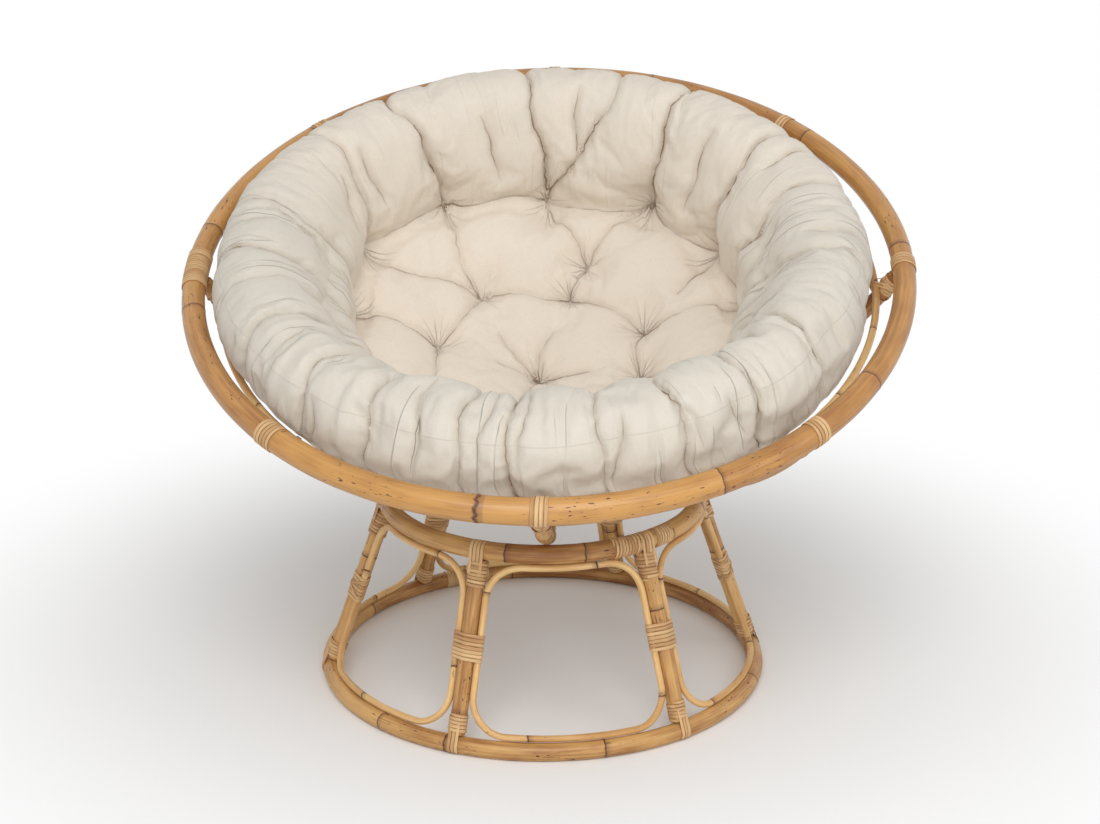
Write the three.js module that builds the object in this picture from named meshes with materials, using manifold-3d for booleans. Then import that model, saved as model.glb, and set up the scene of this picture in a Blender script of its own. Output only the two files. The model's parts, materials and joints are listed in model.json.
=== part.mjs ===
// Papasan chair: a round bowl of rattan poles with a tufted cushion, resting on a round base.
// Millimetres, +Z up. The bowl leans towards -Y, and the chair stands on z = 0.
import * as THREE from 'three'
import { mergeVertices } from 'three/addons/utils/BufferGeometryUtils.js'
import Module from 'manifold-3d'

const wasm = await Module()
wasm.setup()

// Clearance between two pieces that rest on each other
const seatGap = 0.3

// Base: two rings of rattan pole and the legs between them
const floorRingRadius = 326
const floorPoleRadius = 13
const topRingRadius = 234
const topRingHeight = 276
const topPoleRadius = 14
const legCount = 6
const legRadius = 12
const firstLegAzimuth = -47.8

// Window canes: thin rounded frames between two legs
const windowCaneRadius = 5
const windowSeatGap = 0.45
const windowTopCorner = 60
const windowFootCorner = 45

// Bowl: a rim and ribs that follow one sphere
const bowlTilt = 21.3
const rimPathRadius = 533
const bowlDepth = 324.48
const rimFrontPoleRadius = 19.5
const rimBackPoleRadius = 16.5
const ribCount = 8
const ribRadius = 12
const firstRibAzimuth = 3
const hubRadius = 42

// Hoops of cane on the ribs' inner side, each by its radius
const hoopCaneRadius = 5.5
const upperHoopDrop = 35
const middleHoopRadius = 375
const lowerHoopRadius = 225
const hubHoopRadius = 82

// Peel strands of the bindings
const strandWidth = 5.4
const strandHeight = 1.4
const strandPitch = 6.2
const collarStrandWidth = 4.6
const collarPitch = 5.2
const bindingGap = 0.3
const strapWidth = 20
const strapHeight = 1.4
const middleBindingLoops = 6
const headCollarLoops = 5
const footCollarLoops = 4
const ribCollarLoops = 4
const ribCollarDrop = 9
const collarStart = 4
const strapLap = 8
const footStrapAngle = 50

// Loops of each rim binding, rib by rib from the right side round the back
const rimBindingLoops = [4, 3, 3, 4, 12, 5, 4, 4]

// Cushion
const padRimGap = 18
const padLean = 11
const padThickness = 78
const backLobeHeight = 88
const frontLobeHeight = 104
const lobeCount = 14
const firstLobeAzimuth = 94.9
const padEdgeDrop = 44
const tuftDepth = 34
const tuftSpread = 46

// Fineness of the faceted solids
const ringSides = 8
const rimSides = 10
const ringSteps = 48
const rimSteps = 56
const caneSides = 6
const caneSteps = 34
const ribSides = 7
const ribSteps = 14
const hoopSteps = 40
const legSides = 10
const bindingSteps = 8
const outerStrapSteps = 4
const innerStrapSteps = 3
const footStrapSteps = 2
const smallestEdge = 0.02
const mergeDistance = 0.001
const collarSteps = 6
const padSteps = 56

const degree = Math.PI / 180
const turn = 2 * Math.PI

const makeMaterial = (colour, roughness) =>
  new THREE.MeshStandardMaterial({ color: colour, roughness, metalness: 0 })
const rimRattan = makeMaterial(0xc98a48, 0.38)
const poleRattan = makeMaterial(0xb98a55, 0.5)
const caneRattan = makeMaterial(0xd2ac6b, 0.5)
const peel = makeMaterial(0xcfa77a, 0.62)
const cotton = makeMaterial(0xe3dccf, 0.9)

// Sizes that follow from the ones above
const floorRingHeight = floorPoleRadius * Math.cos(turn / ringSides / 2)
const windowSide = legRadius + windowSeatGap + windowCaneRadius
const legLean = Math.atan2(floorRingRadius - topRingRadius, topRingHeight - floorRingHeight)
const bowlRadius = (rimPathRadius ** 2 + bowlDepth ** 2) / (2 * bowlDepth)
const rimDrop = bowlRadius - bowlDepth
const bowlOutside = bowlRadius + ribRadius
const seatReach = bowlOutside + seatGap + topPoleRadius
const bowlCentreHeight = topRingHeight + Math.sqrt(seatReach ** 2 - topRingRadius ** 2)
const seatAngle = Math.atan2(bowlCentreHeight - topRingHeight, -topRingRadius)
const hoopSphere = bowlRadius - ribRadius - seatGap - hoopCaneRadius
const padSphere = hoopSphere - hoopCaneRadius - seatGap
const padRadius = rimPathRadius - rimFrontPoleRadius - padRimGap

// Pole radius of the rim at an azimuth: thickest in front, thinner behind
function rimPoleRadius(azimuth) {
  const front = 0.5 - 0.5 * Math.sin(azimuth)
  return rimBackPoleRadius + (rimFrontPoleRadius - rimBackPoleRadius) * front ** 2
}

// Distance of the faceted rim's centre line from the bowl's axis at an azimuth
function facetedRimRadius(azimuth) {
  const step = turn / rimSteps
  const within = THREE.MathUtils.euclideanModulo(azimuth, step) - step / 2
  return (rimPathRadius * Math.cos(step / 2)) / Math.cos(within)
}

// Thickest pole radius of the rim under a binding of so many loops
function boundPoleRadius(azimuth, loops) {
  const reach = (loops * strandPitch) / 2 / rimPathRadius
  return Math.max(rimPoleRadius(azimuth - reach), rimPoleRadius(azimuth), rimPoleRadius(azimuth + reach))
}

// Six times the volume inside a closed surface, below zero where its faces point inwards
function signedVolume(geometry) {
  const points = geometry.attributes.position
  const corners = geometry.index ? geometry.index.array : [...Array(points.count).keys()]
  const [a, b, c] = [new THREE.Vector3(), new THREE.Vector3(), new THREE.Vector3()]
  let volume = 0
  for (let i = 0; i < corners.length; i += 3) {
    a.fromBufferAttribute(points, corners[i])
    b.fromBufferAttribute(points, corners[i + 1])
    c.fromBufferAttribute(points, corners[i + 2])
    volume += a.dot(b.cross(c))
  }
  return volume
}

// Merges shared vertices and turns the faces outwards
function closedBody(source) {
  source.deleteAttribute('normal')
  source.deleteAttribute('uv')
  const geometry = mergeVertices(source, mergeDistance)
  if (signedVolume(geometry) < 0) {
    const corners = geometry.index.array
    for (let i = 0; i < corners.length; i += 3) {
      [corners[i], corners[i + 1]] = [corners[i + 1], corners[i]]
    }
  }
  geometry.computeVertexNormals()
  return geometry
}

// Skin through a row of sections with equal point counts, capped at both ends
function loft(sections) {
  const sides = sections[0].length
  const positions = sections.flat().flatMap((point) => [point.x, point.y, point.z])
  const corners = []
  for (let i = 0; i < sections.length - 1; i++) {
    for (let j = 0; j < sides; j++) {
      const k = (j + 1) % sides
      corners.push(i * sides + j, i * sides + k, (i + 1) * sides + k)
      corners.push(i * sides + j, (i + 1) * sides + k, (i + 1) * sides + j)
    }
  }
  const last = (sections.length - 1) * sides
  for (let j = 1; j < sides - 1; j++) {
    corners.push(0, j + 1, j)
    corners.push(last, last + j, last + j + 1)
  }
  const geometry = new THREE.BufferGeometry()
  geometry.setAttribute('position', new THREE.Float32BufferAttribute(positions, 3))
  geometry.setIndex(corners)
  return closedBody(geometry)
}

// Ring of pole round the Z axis; one corner of its section looks along cornerAngle
function ringPole(pathRadius, poleRadius, sides, steps, cornerAngle, startAzimuth) {
  const profile = []
  for (let i = 0; i <= sides; i++) {
    const angle = cornerAngle + (turn * (i % sides)) / sides
    const across = pathRadius + poleRadius * Math.cos(angle)
    profile.push(new THREE.Vector2(across, poleRadius * Math.sin(angle)))
  }
  const geometry = new THREE.LatheGeometry(profile, steps, startAzimuth + turn / 4, turn)
  geometry.rotateX(turn / 4)
  return closedBody(geometry)
}

const chair = new THREE.Group()
const base = new THREE.Group()
const bowl = new THREE.Group()
bowl.position.z = bowlCentreHeight
bowl.rotation.x = bowlTilt * degree
chair.add(base, bowl)

function addPiece(group, name, geometry, material) {
  const mesh = new THREE.Mesh(geometry, material)
  mesh.name = name
  group.add(mesh)
  return mesh
}

// Base rings
const flatUnderneath = -turn / 4 + turn / ringSides / 2
const legAzimuths = []
for (let i = 0; i < legCount; i++) {
  legAzimuths.push(firstLegAzimuth * degree - (turn * i) / legCount)
}
const floorRing = ringPole(
  floorRingRadius, floorPoleRadius, ringSides, ringSteps, flatUnderneath, legAzimuths[0],
)
addPiece(base, 'floor_ring', floorRing, poleRattan).position.z = floorRingHeight
const topRing = ringPole(topRingRadius, topPoleRadius, ringSides, ringSteps, seatAngle, legAzimuths[0])
addPiece(base, 'top_ring', topRing, poleRattan).position.z = topRingHeight

// A leg's own frame: its foot and head on the two rings' centre lines, and three directions
function legFrame(azimuth) {
  const outward = new THREE.Vector3(Math.cos(azimuth), Math.sin(azimuth), 0)
  const foot = outward.clone().multiplyScalar(floorRingRadius).setZ(floorRingHeight)
  const head = outward.clone().multiplyScalar(topRingRadius).setZ(topRingHeight)
  const up = head.clone().sub(foot).normalize()
  const side = new THREE.Vector3(-Math.sin(azimuth), Math.cos(azimuth), 0)
  const out = side.clone().cross(up)
  return { foot, head, up, side, out, length: head.distanceTo(foot), azimuth }
}
const legFrames = legAzimuths.map(legFrame)
const slant = legFrames[0].length

// Legs
const legFootEnd = floorPoleRadius + seatGap
const legHeadEnd = topPoleRadius + seatGap
legFrames.forEach((frame, i) => {
  const length = slant - legFootEnd - legHeadEnd
  const geometry = new THREE.CylinderGeometry(legRadius, legRadius, length, legSides)
  const leg = addPiece(base, `leg_${i + 1}`, closedBody(geometry), poleRattan)
  leg.quaternion.setFromUnitVectors(new THREE.Vector3(0, 1, 0), frame.up)
  leg.position.copy(frame.foot).addScaledVector(frame.up, legFootEnd + length / 2)
})

// Rounded outline through corners, each with its own radius, as a THREE.Path
function roundedPath(corners) {
  const path = new THREE.Path()
  corners.forEach((corner, i) => {
    const before = corners[(i + corners.length - 1) % corners.length].point
    const after = corners[(i + 1) % corners.length].point
    const toBefore = before.clone().sub(corner.point).normalize()
    const toAfter = after.clone().sub(corner.point).normalize()
    const half = Math.acos(toBefore.dot(toAfter)) / 2
    const reach = corner.radius / Math.tan(half)
    const middle = toBefore.clone().add(toAfter).normalize()
    const centre = corner.point.clone().addScaledVector(middle, corner.radius / Math.sin(half))
    const start = corner.point.clone().addScaledVector(toBefore, reach).sub(centre)
    const end = corner.point.clone().addScaledVector(toAfter, reach).sub(centre)
    path.absarc(centre.x, centre.y, corner.radius, start.angle(), end.angle(), false)
  })
  path.closePath()
  return path
}

// Centre line of a window cane: a flat outline laid on the cone that the legs stand in
class WindowCurve extends THREE.Curve {
  constructor(azimuth) {
    super()
    this.azimuth = azimuth
    this.arcLengthDivisions = 400
    const foot = floorPoleRadius + windowSeatGap + windowCaneRadius
    const head = slant - topPoleRadius - windowSeatGap - windowCaneRadius
    const edge = (height) => this.coneRadius(height) * (turn / legCount / 2) - windowSide
    this.path = roundedPath([
      { point: new THREE.Vector2(-edge(foot), foot), radius: windowFootCorner },
      { point: new THREE.Vector2(edge(foot), foot), radius: windowFootCorner },
      { point: new THREE.Vector2(edge(head), head), radius: windowTopCorner },
      { point: new THREE.Vector2(-edge(head), head), radius: windowTopCorner },
    ])
  }

  coneRadius(height) {
    return floorRingRadius + ((topRingRadius - floorRingRadius) * height) / slant
  }

  getPoint(share, target = new THREE.Vector3()) {
    const flat = this.path.getPoint(share)
    const radius = this.coneRadius(flat.y)
    const azimuth = this.azimuth + flat.x / radius
    const height = floorRingHeight + ((topRingHeight - floorRingHeight) * flat.y) / slant
    return target.set(radius * Math.cos(azimuth), radius * Math.sin(azimuth), height)
  }
}

// Window canes
legAzimuths.forEach((azimuth, i) => {
  const curve = new WindowCurve(azimuth - turn / legCount / 2)
  const geometry = new THREE.TubeGeometry(curve, caneSteps, windowCaneRadius, caneSides, true)
  addPiece(base, `window_cane_${i + 1}`, closedBody(geometry), caneRattan)
})

// Rim, a torus whose pole swells towards the front
const rimGeometry = closedBody(new THREE.TorusGeometry(rimPathRadius, 1, rimSides, rimSteps))
const rimPoint = new THREE.Vector3()
const rimMiddle = new THREE.Vector3()
for (let i = 0; i < rimGeometry.attributes.position.count; i++) {
  rimPoint.fromBufferAttribute(rimGeometry.attributes.position, i)
  const azimuth = Math.atan2(rimPoint.y, rimPoint.x)
  rimMiddle.set(Math.cos(azimuth), Math.sin(azimuth), 0).multiplyScalar(rimPathRadius)
  rimPoint.sub(rimMiddle).multiplyScalar(rimPoleRadius(azimuth)).add(rimMiddle)
  rimGeometry.attributes.position.setXYZ(i, rimPoint.x, rimPoint.y, rimPoint.z)
}
addPiece(bowl, 'rim', rimGeometry, rimRattan).position.z = -rimDrop

// Centre line of a rib: an arc of the bowl's sphere, from angle start to angle end off its pole
class RibCurve extends THREE.Curve {
  constructor(azimuth, start, end) {
    super()
    this.azimuth = azimuth
    this.start = start
    this.end = end
  }

  getPoint(share, target = new THREE.Vector3()) {
    const angle = this.start + (this.end - this.start) * share
    const across = bowlRadius * Math.sin(angle)
    const height = -bowlRadius * Math.cos(angle)
    return target.set(across * Math.cos(this.azimuth), across * Math.sin(this.azimuth), height)
  }
}

function poleSection(radius, sides) {
  const shape = new THREE.Shape()
  for (let i = 0; i < sides; i++) {
    const angle = (turn * i) / sides
    const point = new THREE.Vector2(radius * Math.cos(angle), radius * Math.sin(angle))
    if (i === 0) shape.moveTo(point.x, point.y)
    else shape.lineTo(point.x, point.y)
  }
  shape.closePath()
  return shape
}

// Ribs, which end against the rim's bindings
const rimAngle = Math.acos(rimDrop / bowlRadius)
const hubAngle = Math.asin(hubRadius / bowlRadius)
const ribAzimuths = []
for (let i = 0; i < ribCount; i++) ribAzimuths.push(firstRibAzimuth * degree + (turn * i) / ribCount)
function ribEndAngle(i) {
  const azimuth = ribAzimuths[i]
  const lashing = boundPoleRadius(azimuth, rimBindingLoops[i]) + bindingGap + strandHeight + seatGap
  const endTilt = (ribRadius * lashing) / bowlRadius
  const facetSink = rimPathRadius - facetedRimRadius(azimuth)
  return rimAngle - Math.asin((lashing + endTilt + facetSink) / bowlRadius)
}
ribAzimuths.forEach((azimuth, i) => {
  const curve = new RibCurve(azimuth, hubAngle, ribEndAngle(i))
  const geometry = new THREE.ExtrudeGeometry(poleSection(ribRadius, ribSides), {
    extrudePath: curve, steps: ribSteps, bevelEnabled: false,
  })
  addPiece(bowl, `rib_${i + 1}`, closedBody(geometry), poleRattan)
})

// Hoops inside the ribs
const upperHoopDepth = rimDrop + upperHoopDrop
const upperHoopRadius = Math.sqrt(hoopSphere ** 2 - upperHoopDepth ** 2)
const hoops = {
  upper_hoop: upperHoopRadius,
  middle_hoop: middleHoopRadius,
  lower_hoop: lowerHoopRadius,
  hub_hoop: hubHoopRadius,
}
for (const [name, radius] of Object.entries(hoops)) {
  const depth = Math.sqrt(hoopSphere ** 2 - radius ** 2)
  const outwards = Math.atan2(-depth, radius)
  const geometry = ringPole(radius, hoopCaneRadius, caneSides, hoopSteps, outwards, firstRibAzimuth * degree)
  addPiece(bowl, name, geometry, caneRattan).position.z = -depth
}

// Strand wound round an outline, as one unbroken tube of three sides with its flat side inwards.
// frameAt(distance) gives the winding's own origin and directions at a distance along its axis,
// and outline(angle) the point of the poles that lies furthest out that way.
function windStrand({ frameAt, outline, loops, pitch, width, steps, startAngle }) {
  const sections = []
  const count = loops * steps
  const length = (loops - 1) * pitch
  for (let i = 0; i <= count; i++) {
    const angle = startAngle + (turn * i) / steps
    const distance = (pitch * i) / steps - length / 2 - pitch / 2
    const { origin, axis, right, up } = frameAt(distance)
    const support = outline(angle, steps)
    const normal = right.clone().multiplyScalar(Math.cos(angle)).addScaledVector(up, Math.sin(angle))
    const middle = origin.clone().addScaledVector(right, support.x).addScaledVector(up, support.y)
    sections.push([
      middle.clone().addScaledVector(axis, -width / 2),
      middle.clone().addScaledVector(axis, width / 2),
      middle.clone().addScaledVector(normal, strandHeight),
    ])
  }
  return sections
}

// Outline round circles side by side: the corner, at an angle, of the polygon of so many steps
// whose sides all stay clear of the circles
function roundCircles(circles) {
  const reachAt = (normal) => bindingGap + Math.max(
    ...circles.map((circle) => circle.centre.dot(normal) + circle.radius),
  )
  return (angle, steps) => {
    const half = turn / steps / 2
    const before = new THREE.Vector2(Math.cos(angle - half), Math.sin(angle - half))
    const after = new THREE.Vector2(Math.cos(angle + half), Math.sin(angle + half))
    const reachBefore = reachAt(before)
    const reachAfter = reachAt(after)
    const across = before.cross(after)
    return new THREE.Vector2(
      (reachBefore * after.y - reachAfter * before.y) / across,
      (reachAfter * before.x - reachBefore * after.x) / across,
    )
  }
}

// Least gap between one loop of a winding and the next, measured on its points
function leastSelfGap(sections, steps) {
  let least = Infinity
  const closest = new THREE.Vector3()
  const edge = new THREE.Line3()
  for (let i = 0; i < sections.length; i++) {
    for (let j = i + steps - 1; j < Math.min(i + steps + 2, sections.length - 1); j++) {
      for (const corner of sections[i]) {
        for (let k = 0; k < sections[j].length; k++) {
          edge.set(sections[j][k], sections[j + 1][k])
          edge.closestPointToPoint(corner, true, closest)
          least = Math.min(least, closest.distanceTo(corner))
        }
      }
    }
  }
  return least
}

let leastGapOfAll = Infinity
function windingBody(options) {
  const sections = windStrand(options)
  leastGapOfAll = Math.min(leastGapOfAll, leastSelfGap(sections, options.steps))
  return loft(sections)
}

const toManifold = (geometry) => new wasm.Manifold(new wasm.Mesh({
  numProp: 3,
  vertProperties: new Float32Array(geometry.attributes.position.array),
  triVerts: new Uint32Array(geometry.index.array),
}))

function joinBodies(first, ...others) {
  let solid = toManifold(first)
  for (const other of others) solid = solid.add(toManifold(other))
  const { vertProperties, triVerts } = solid.simplify(smallestEdge).getMesh()
  const geometry = new THREE.BufferGeometry()
  geometry.setAttribute('position', new THREE.BufferAttribute(vertProperties, 3))
  geometry.setIndex(new THREE.BufferAttribute(triVerts, 1))
  return closedBody(geometry)
}

// Flat strap through points in a leg's own plane, each given as distance outwards and upwards
// from an origin, with the strap's thickness on the outer side of the line
function strapBody(frame, origin, line) {
  const sections = line.map(({ point, normal }) => {
    const inner = origin.clone().addScaledVector(frame.out, point.x).addScaledVector(frame.up, point.y)
    const facing = frame.out.clone().multiplyScalar(normal.x).addScaledVector(frame.up, normal.y)
    const outer = inner.clone().addScaledVector(facing, strapHeight)
    return [
      inner.clone().addScaledVector(frame.side, -strapWidth / 2),
      inner.clone().addScaledVector(frame.side, strapWidth / 2),
      outer.clone().addScaledVector(frame.side, strapWidth / 2),
      outer.clone().addScaledVector(frame.side, -strapWidth / 2),
    ]
  })
  return loft(sections)
}

// Inner radius of a strap round a ring's pole. The ring bends away under an outer strap and
// towards an inner one.
function strapReach(poleRadius, outwardSign) {
  const bend = outwardSign > 0 ? 0 : (strapWidth / 2) * Math.tan(turn / ringSteps / 2)
  return poleRadius + bindingGap + bend
}

// Line of a strap in a leg's plane: along the leg for a while, then round a ring's pole to an angle
function strapLine({ poleRadius, toAngle, steps, outwardSign, upwardSign }) {
  const line = []
  const reach = strapReach(poleRadius, outwardSign)
  const legReach = legRadius + bindingGap
  const legEnd = new THREE.Vector2(outwardSign * legReach, -upwardSign * (poleRadius + strapLap))
  line.push({ point: legEnd, normal: new THREE.Vector2(outwardSign, 0) })
  const spread = Math.cos(toAngle / steps / 2)
  for (let i = 0; i <= steps; i++) {
    const angle = (toAngle * i) / steps
    const normal = new THREE.Vector2(outwardSign * Math.cos(angle), upwardSign * Math.sin(angle))
    line.push({ point: normal.clone().multiplyScalar(reach / spread), normal })
  }
  return line
}

const straightFrame = (frame, start) => (distance) => ({
  origin: start.clone().addScaledVector(frame.up, distance),
  axis: frame.up, right: frame.side, up: frame.out,
})

// Bindings at the middle of each leg, round the leg and the canes on both sides
legFrames.forEach((frame, i) => {
  const middle = frame.foot.clone().addScaledVector(frame.up, slant / 2)
  const coneRadius = (floorRingRadius + topRingRadius) / 2
  const sink = (windowSide ** 2 / (2 * coneRadius)) * Math.cos(legLean)
  const outline = roundCircles([
    { centre: new THREE.Vector2(0, 0), radius: legRadius },
    { centre: new THREE.Vector2(windowSide, -sink), radius: windowCaneRadius },
    { centre: new THREE.Vector2(-windowSide, -sink), radius: windowCaneRadius },
  ])
  const geometry = windingBody({
    frameAt: straightFrame(frame, middle), outline, loops: middleBindingLoops,
    pitch: strandPitch, width: strandWidth, steps: bindingSteps, startAngle: turn / bindingSteps / 2,
  })
  addPiece(base, `middle_binding_${i + 1}`, geometry, peel)
})

// Collar round one end of a leg, with its straps over the ring
function collarLength(loops) {
  return loops * collarPitch
}
const aroundLeg = roundCircles([{ centre: new THREE.Vector2(0, 0), radius: legRadius }])
const strapMargin = 4 * degree

// Angle by which a strap stays away from where the bowl rests on the top ring
function clearOfSeat(outwardSign) {
  const outside = strapReach(topPoleRadius, outwardSign) + strapHeight
  return Math.acos((topPoleRadius + seatGap) / outside) + strapMargin
}
legFrames.forEach((frame, i) => {
  const collarMiddle = legHeadEnd + collarStart + collarLength(headCollarLoops) / 2
  const collar = windingBody({
    frameAt: straightFrame(frame, frame.head.clone().addScaledVector(frame.up, -collarMiddle)),
    outline: aroundLeg, loops: headCollarLoops, pitch: collarPitch, width: collarStrandWidth,
    steps: collarSteps, startAngle: 0,
  })
  const seat = seatAngle - legLean
  const outer = strapLine({
    poleRadius: topPoleRadius, toAngle: seat - clearOfSeat(1),
    steps: outerStrapSteps, outwardSign: 1, upwardSign: 1,
  })
  const inner = strapLine({
    poleRadius: topPoleRadius, toAngle: turn / 2 - seat - clearOfSeat(-1),
    steps: innerStrapSteps, outwardSign: -1, upwardSign: 1,
  })
  const straps = [outer, inner].map((line) => strapBody(frame, frame.head, line))
  const geometry = joinBodies(collar, ...straps)
  addPiece(base, `head_binding_${i + 1}`, geometry, peel)
})

legFrames.forEach((frame, i) => {
  const collarMiddle = legFootEnd + collarStart + collarLength(footCollarLoops) / 2
  const collar = windingBody({
    frameAt: straightFrame(frame, frame.foot.clone().addScaledVector(frame.up, collarMiddle)),
    outline: aroundLeg, loops: footCollarLoops, pitch: collarPitch, width: collarStrandWidth,
    steps: collarSteps, startAngle: 0,
  })
  const line = strapLine({
    poleRadius: floorPoleRadius, toAngle: footStrapAngle * degree,
    steps: footStrapSteps, outwardSign: 1, upwardSign: -1,
  })
  const strap = strapBody(frame, frame.foot, line)
  addPiece(base, `foot_binding_${i + 1}`, joinBodies(collar, strap), peel)
})

// Bindings round the rim, one at each rib's end
ribAzimuths.forEach((azimuth, i) => {
  const poleRadius = boundPoleRadius(azimuth, rimBindingLoops[i])
  const frameAt = (distance) => {
    const here = azimuth + distance / rimPathRadius
    const outward = new THREE.Vector3(Math.cos(here), Math.sin(here), 0)
    const origin = outward.clone().multiplyScalar(facetedRimRadius(here)).setZ(-rimDrop)
    const axis = new THREE.Vector3(-Math.sin(here), Math.cos(here), 0)
    return { origin, axis, right: outward, up: new THREE.Vector3(0, 0, 1) }
  }
  const ribWay = -turn / 4 - (turn / 4 - rimAngle)
  const geometry = windingBody({
    frameAt, outline: roundCircles([{ centre: new THREE.Vector2(0, 0), radius: poleRadius }]),
    loops: rimBindingLoops[i], pitch: strandPitch, width: strandWidth, steps: bindingSteps,
    startAngle: ribWay + turn / bindingSteps / 2,
  })
  addPiece(bowl, `rim_binding_${i + 1}`, geometry, peel)
})

// Collar of peel round the right rib, just below the rim
{
  const azimuth = ribAzimuths[0]
  const middleAngle = ribEndAngle(0) - (ribCollarDrop + collarLength(ribCollarLoops) / 2) / bowlRadius
  const frameAt = (distance) => {
    const angle = middleAngle + distance / bowlRadius
    const outward = new THREE.Vector3(Math.cos(azimuth), Math.sin(azimuth), 0)
    const radial = outward.clone().multiplyScalar(Math.sin(angle)).setZ(-Math.cos(angle))
    const axis = outward.clone().multiplyScalar(Math.cos(angle)).setZ(Math.sin(angle))
    const side = new THREE.Vector3(-Math.sin(azimuth), Math.cos(azimuth), 0)
    return { origin: radial.clone().multiplyScalar(bowlRadius), axis, right: side, up: radial }
  }
  const geometry = windingBody({
    frameAt, outline: roundCircles([{ centre: new THREE.Vector2(0, 0), radius: ribRadius }]),
    loops: ribCollarLoops, pitch: collarPitch, width: collarStrandWidth, steps: collarSteps, startAngle: 0,
  })
  addPiece(bowl, 'rib_collar', geometry, peel)
}

// Cushion: radius and height above the rim's plane, as shares of padRadius and the lobes' height,
// once through the crown of a gather and once through the crease beside it
const crownShares = [
  [0.720, -0.62], [0.742, 0.02], [0.775, 0.55], [0.820, 0.88], [0.875, 1.00], [0.930, 0.93],
  [0.975, 0.66], [0.998, 0.28], [1.000, -0.06],
]
const creaseShares = [
  [0.740, -0.70], [0.766, -0.12], [0.800, 0.32], [0.842, 0.66], [0.886, 0.80], [0.930, 0.75],
  [0.966, 0.50], [0.986, 0.17], [0.988, -0.14],
]
const seatAngleShares = [0.2, 0.4, 0.6, 0.8]
const undersideAngleShares = [1, 0.72, 0.42]
// How deep the outer tufts' ring is drawn in between two creases, and how fast the front narrows
const ringSinkShare = 0.35
const narrowingPower = 2
// Angle of the outer ring of tufts off the bowl's pole: wider at the back than at the sides
const backTuftAngle = 42
const frontTuftAngle = 34.5
const seatEdgeAngle = (azimuth) => degree * THREE.MathUtils.lerp(
  frontTuftAngle, backTuftAngle, (0.5 + 0.5 * Math.sin(azimuth)) ** 2,
)
// Tufts of the seat: angle from the bowl's pole and azimuth
const innerTufts = [
  [4.9, 121], [21.5, 124], [21, 85.6], [20.5, 42.5], [21.8, 158.8], [20, 10],
  [21, 202], [21, 245], [21, 288], [21, 331.6],
].map(([angle, azimuth]) => new THREE.Vector3(
  Math.sin(angle * degree) * Math.cos(azimuth * degree),
  Math.sin(angle * degree) * Math.sin(azimuth * degree),
  -Math.cos(angle * degree),
))

// Height of the cushion's top over its underside at a direction from the sphere's centre
function seatPoint(angle, azimuth) {
  const direction = new THREE.Vector3(
    Math.sin(angle) * Math.cos(azimuth), Math.sin(angle) * Math.sin(azimuth), -Math.cos(angle),
  )
  let thickness = padThickness
  for (const tuft of innerTufts) {
    const away = (tuft.angleTo(direction) * padSphere) / tuftSpread
    thickness -= tuftDepth * Math.exp(-2 * away ** 2)
  }
  return direction.multiplyScalar(padSphere - thickness)
}

function creaseWeight(azimuth) {
  return Math.cos(((azimuth - firstLobeAzimuth * degree) * lobeCount) / 2) ** 4
}

function cushionGeometry() {
  const azimuths = []
  for (let i = 0; i < padSteps; i++) azimuths.push(firstLobeAzimuth * degree + (turn * i) / padSteps)
  const rows = []
  for (const share of seatAngleShares) {
    rows.push(azimuths.map((azimuth) => seatPoint(share * seatEdgeAngle(azimuth), azimuth)))
  }
  rows.push(azimuths.map((azimuth) => {
    const sink = tuftDepth * THREE.MathUtils.lerp(ringSinkShare, 1, creaseWeight(azimuth))
    const direction = seatPoint(seatEdgeAngle(azimuth), azimuth).normalize()
    return direction.multiplyScalar(padSphere - padThickness + sink)
  }))
  crownShares.forEach((crown, i) => {
    const crease = creaseShares[i]
    const way = i / (crownShares.length - 1)
    rows.push(azimuths.map((azimuth) => {
      const weight = creaseWeight(azimuth)
      const narrower = padSphere * (Math.sin(backTuftAngle * degree) - Math.sin(seatEdgeAngle(azimuth)))
      const foot = (1 - way) ** narrowingPower
      const radius = padRadius * THREE.MathUtils.lerp(crown[0], crease[0], weight) - narrower * foot
      const tall = THREE.MathUtils.lerp(frontLobeHeight, backLobeHeight, 0.5 + 0.5 * Math.sin(azimuth))
      return new THREE.Vector3(
        radius * Math.cos(azimuth) - padLean * Math.min(1, 2 * way, 4 * (1 - way)),
        radius * Math.sin(azimuth),
        tall * THREE.MathUtils.lerp(crown[1], crease[1], weight) - rimDrop,
      )
    }))
  })
  const edgeAngle = Math.acos((rimDrop + padEdgeDrop) / padSphere)
  for (const share of undersideAngleShares) {
    const angle = edgeAngle * share
    rows.push(azimuths.map((azimuth) => new THREE.Vector3(
      padSphere * Math.sin(angle) * Math.cos(azimuth),
      padSphere * Math.sin(angle) * Math.sin(azimuth),
      -padSphere * Math.cos(angle),
    )))
  }
  const positions = rows.flat().flatMap((point) => [point.x, point.y, point.z])
  const corners = []
  for (let i = 0; i < rows.length - 1; i++) {
    for (let j = 0; j < padSteps; j++) {
      const k = (j + 1) % padSteps
      corners.push(i * padSteps + j, (i + 1) * padSteps + j, (i + 1) * padSteps + k)
      corners.push(i * padSteps + j, (i + 1) * padSteps + k, i * padSteps + k)
    }
  }
  const top = rows.length * padSteps
  const last = (rows.length - 1) * padSteps
  positions.push(...seatPoint(0, 0).toArray(), 0, 0, -padSphere)
  for (let j = 0; j < padSteps; j++) {
    const k = (j + 1) % padSteps
    corners.push(top, j, k)
    corners.push(top + 1, last + k, last + j)
  }
  const geometry = new THREE.BufferGeometry()
  geometry.setAttribute('position', new THREE.Float32BufferAttribute(positions, 3))
  geometry.setIndex(corners)
  return closedBody(geometry)
}
addPiece(bowl, 'cushion', cushionGeometry(), cotton)

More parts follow.
